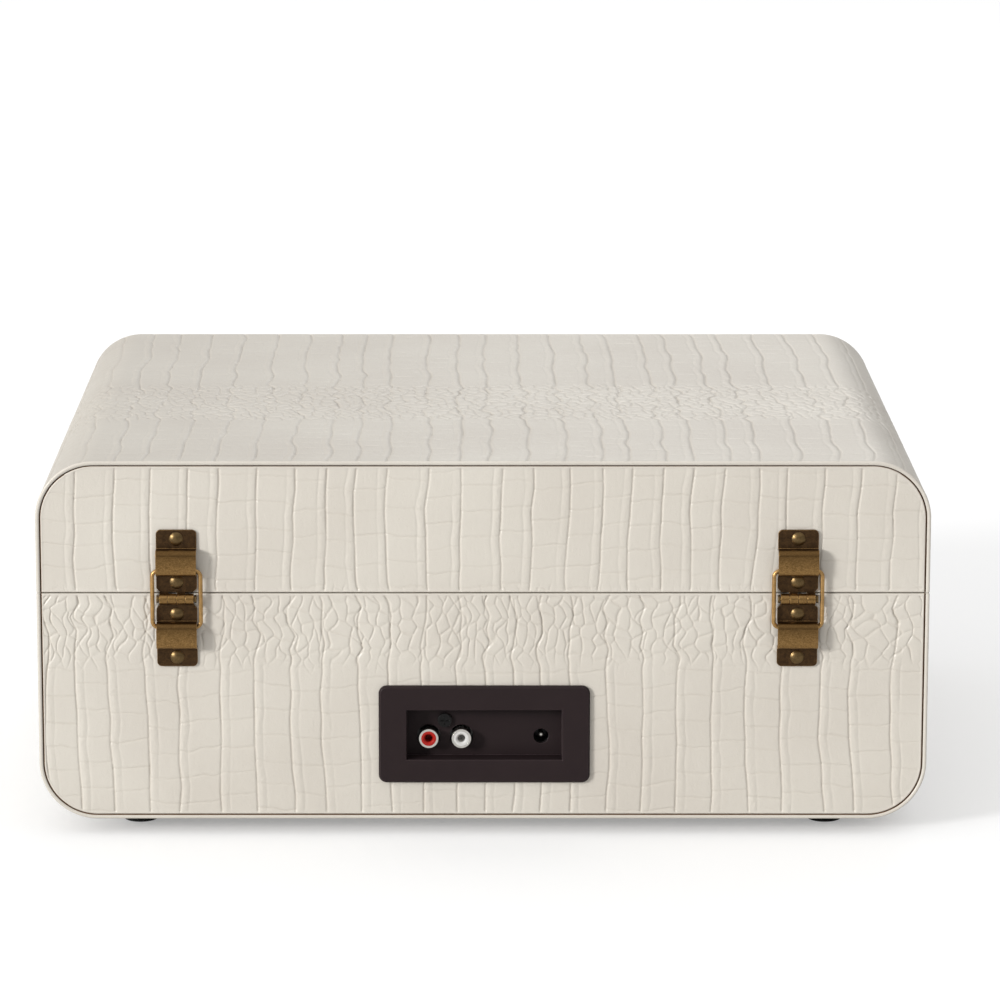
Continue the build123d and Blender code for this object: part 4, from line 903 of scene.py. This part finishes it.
def turned(profile, centre, axis, around, slot=0):
    """A closed ring: an outline of (along the axis, radius) pairs turned about an axis."""
    axis = np.array(axis, float)
    first = np.cross(axis, (0.0, 1.0, 0.0) if abs(axis[1]) < 0.9 else (1.0, 0.0, 0.0))
    first /= np.linalg.norm(first)
    second = np.cross(axis, first)
    turn = np.linspace(0, 2 * math.pi, around, endpoint=False)
    out = np.cos(turn)[:, None] * first + np.sin(turn)[:, None] * second
    rings = np.array(centre) + profile[:, :1, None] * axis + profile[:, 1:, None] * out[None]
    count = len(profile)
    points = rings.reshape(-1, 3)
    faces = grid_faces(count, around, around=True)
    j = np.arange(around)
    k = (j + 1) % around
    closing = np.stack([(count - 1) * around + j, (count - 1) * around + k, k, j], 1)
    return points, [(np.vstack([faces, closing]), slot)]


def mat_piece():
    """The felt mat: a thin disc with a fuzzy, slightly wavy face and a soft rim."""
    low, high = box_mm("slip_mat")
    middle = (low + high) / 2
    outer = (high[0] - low[0]) / 2
    inner = 3.9
    around = 360
    radii = np.concatenate([[inner, inner + 0.3], np.linspace(inner + 1, outer - 1, 90), [outer - 0.4, outer - 0.1, outer]])
    turn = np.linspace(0, 2 * math.pi, around, endpoint=False)
    rr, tt = np.meshgrid(radii, turn, indexing="ij")
    x, y = rr * np.cos(tt), rr * np.sin(tt)
    soft = 0.10 * value_noise(x.ravel(), y.ravel(), 19, 23, 61) + 0.06 * value_noise(x.ravel(), y.ravel(), 2.7, 3.1, 62)
    soft = soft.reshape(rr.shape) - 0.16
    edge = smooth_step(outer - rr, 0, 0.9) * smooth_step(rr - inner, 0, 0.7)
    top = high[2] + soft * edge - 0.55 * (1 - edge)
    upper = np.stack([x + middle[0], y + middle[1], top], -1)
    lower = upper[[-1, 0]].copy()
    lower[:, :, 2] = low[2] + 0.02
    rings = np.concatenate([upper, lower])
    count = len(rings)
    points = rings.reshape(-1, 3)
    j = np.arange(around)
    k = (j + 1) % around
    closing = np.stack([(count - 1) * around + j, (count - 1) * around + k, k, j], 1)
    faces = [(np.vstack([grid_faces(count, around, around=True), closing])[:, ::-1], 0)]
    piece = make_mesh("felt_mat", points, faces, [felt_material("mat_felt", (24, 23, 22), (54, 51, 49))])
    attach(piece, "turntable")
    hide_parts("slip_mat")


# ------------------------------------------------------------------ finishes for the CAD nodes


def paint(material, *nodes):
    """Gives CAD nodes one material, in object-linked slots so that their meshes stay as packed."""
    for name in nodes:
        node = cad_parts[name]
        for slot in node.material_slots:
            slot.link = "OBJECT"
            slot.material = material


def finishes():
    leaf_face = PIN_Y - 1.6
    tunnels = [float(PIN_Z) + side * 15.8 for side in (-1, 1)]
    hinge_brass = brass_material("hinge_brass", leaf_face + 0.3, bright=((110, 83, 47), (178, 140, 88)), bulges=tunnels)
    front_brass = brass_material("latch_brass", HALF_Y + 1.3)
    paint(hinge_brass, "hinge_leaves_base", "hinge_leaves_lid")
    # the wire's pale edge colour is partly wear and partly a painted highlight
    wire = brass_material("wire_brass", None, ((116, 88, 50), (150, 116, 68)), ((176, 138, 86), (220, 178, 120)), (232, 190, 130))
    paint(wire, "stay_ring_left", "stay_ring_right")
    studs = brass_material("stud_brass", None, ((74, 60, 38), (100, 82, 54)), ((104, 84, 54), (134, 110, 74)), (160, 132, 90))
    paint(studs, "hinge_pins", "base_rivets", "lid_rivets")
    paint(front_brass, "latch_plates", "latch_keepers", "handle_brackets", "latch_hasp_left", "latch_hasp_right")
    paint(board_material(), "lid_shell", "lid_end_panels", "base_shell", "base_front_panel", "base_rear_panel")
    # the bezel's edges are lightened strongly: a painted highlight along its rims and chamfers, with some wear
    paint(plastic_material("bezel_plastic", (36, 27, 28), (41, 31, 32), 0.5, specular=0.14, edge_wear_and_highlight=0.7), "io_bezel")
    paint(plastic_material("socket_black", (18, 17, 17), (26, 25, 25), 0.35), "dc_jack")
    paint(plastic_material("foot_rubber", (24, 24, 24), (34, 33, 32), 0.75, 0.6, 0.05), "feet", "drive_belt")
    paint(plastic_material("red_insulator", (150, 22, 14), (172, 32, 22), 0.35, 0.5, 0.01, 0.15, 0.3), "rca_insert_red", "stylus")
    paint(plastic_material("white_insulator", (196, 194, 190), (212, 210, 206), 0.3, 0.5, 0.01, 0.15), "rca_insert_white")
    paint(contact_material(), "jack_contacts")
    paint(metal_material("nickel", (196, 193, 186), (226, 223, 217), 0.2), "spindle", "headphone_jack", "lift_bar")
    paint(metal_material("satin_aluminium", (186, 188, 190), (216, 218, 220), 0.3, (1, 1, 8)), "tonearm_tube", "tonearm_gimbal", "motor_pulley")
    paint(metal_material("zinc_steel", (150, 150, 148), (188, 188, 186), 0.34), "motor", "spindle_clip")
    paint(plastic_material("black_screw", (9, 8, 8), (14, 13, 12), 0.26, 0.5, 0.004, 0.2, 0.24), "case_screws")
    paint(plastic_material("deck_plastic", (40, 36, 34), (48, 44, 41), 0.55, 0.7, 0.04), "deck", "speaker_grilles")
    paint(plastic_material("platter_plastic", (30, 29, 29), (38, 37, 36), 0.42), "platter", "tonearm_base", "tonearm_rest")
    paint(plastic_material("arm_plastic", (26, 26, 27), (34, 34, 35), 0.3), "arm_pivot_block", "headshell", "cartridge", "rest_clip", "adapter_45")
    paint(metal_material("knob_metal", (170, 160, 138), (206, 196, 172), 0.28, (1, 1, 6)), "volume_knob", "mode_knob", "speed_lever", "autostop_slider", "cue_lever")
    paint(circuit_material("circuit_board", (46, 120, 66), (20, 78, 42)), "main_board")
    paint(circuit_material("black_circuit_board", (20, 24, 20), (11, 13, 11)), "io_board")
    paint(paper_cone_material(), "speaker_drivers")


# ------------------------------------------------------------------ stage


def area_light(name, place, aim, size, power, color=(1, 1, 1)):
    data = bpy.data.lights.new(name, "AREA")
    data.shape = "RECTANGLE"
    data.size, data.size_y = size
    data.energy = power
    data.color = color
    light = bpy.data.objects.new(name, data)
    bpy.context.scene.collection.objects.link(light)
    light.location = place
    light.rotation_euler = (Vector(aim) - Vector(place)).to_track_quat("-Z", "Y").to_euler()
    return light


def sunlight(direction, strength, softness):
    """Even light from one direction, which points from the object to the light."""
    data = bpy.data.lights.new("window", "SUN")
    data.energy = strength
    data.angle = math.radians(softness)
    light = bpy.data.objects.new("window", data)
    bpy.context.scene.collection.objects.link(light)
    light.rotation_euler = (-Vector(direction)).to_track_quat("-Z", "Y").to_euler()


def floor():
    g = Graph("studio_floor")
    tone = g.blend(g.noise(300, 2), (0.69, 0.69, 0.69, 1), (0.71, 0.71, 0.71, 1))
    glow = g.math("MULTIPLY", g.add("LightPath").outputs["Is Camera Ray"], 0.3)
    g.finish(Base_Color=tone, Roughness=0.9, Emission_Color=(1, 1, 1, 1), Emission_Strength=glow)
    half = 12000
    points = [(-half, -half, 0), (half, -half, 0), (half, half, 0), (-half, half, 0)]
    ground = make_mesh("floor", points, [(np.array([[0, 1, 2, 3]]), 0)], [g.material], smooth=False)
    ground.location.z = -0.00005


def camera():
    """The photograph's view: from behind, slightly above, with a long lens."""
    data = bpy.data.cameras.new("camera")
    data.sensor_width = 36.0
    data.lens = 172.84
    data.shift_x = 0.036
    data.clip_end = 100
    made = bpy.data.objects.new("camera", data)
    bpy.context.scene.collection.objects.link(made)
    made.location = (0.00808, 2.151, 0.5584)
    made.rotation_euler = (math.radians(90 - 11.68), 0, math.radians(180))
    bpy.context.scene.camera = made


def stage():
    world = bpy.data.worlds.new("studio")
    bpy.context.scene.world = world
    world.use_nodes = True
    tree = world.node_tree
    background = tree.nodes["Background"]
    rise = tree.nodes.new("ShaderNodeSeparateXYZ")
    tree.links.new(tree.nodes.new("ShaderNodeTexCoord").outputs["Generated"], rise.inputs[0])
    shade = tree.nodes.new("ShaderNodeMapRange")
    for key, value in {"From Min": 0.0, "From Max": 0.6, "To Min": 0.16, "To Max": 0.88}.items():
        shade.inputs[key].default_value = value
    tree.links.new(rise.outputs["Z"], shade.inputs["Value"])
    seen = tree.nodes.new("ShaderNodeLightPath")
    pick = tree.nodes.new("ShaderNodeMix")
    pick.inputs[3].default_value = 1.0
    tree.links.new(seen.outputs["Is Camera Ray"], pick.inputs[0])
    tree.links.new(shade.outputs["Result"], pick.inputs[2])
    tree.links.new(pick.outputs[0], background.inputs["Strength"])
    background.inputs["Color"].default_value = (1.0, 1.0, 1.0, 1)
    middle = (0, 0, 0.08)
    sunlight((0.70, 0.56, 0.25), 2.3, 12)
    area_light("key", (1.15, 0.95, 0.75), middle, (0.45, 0.45), 3.0)
    area_light("front_fill", (-0.6, -2.4, 1.6), middle, (1.6, 1.2), 8)
    floor()
    camera()
    bpy.context.scene.view_settings.view_transform = "Standard"


coverings()
handle_piece()
mat_piece()
lid_lining()
finishes()
stage()
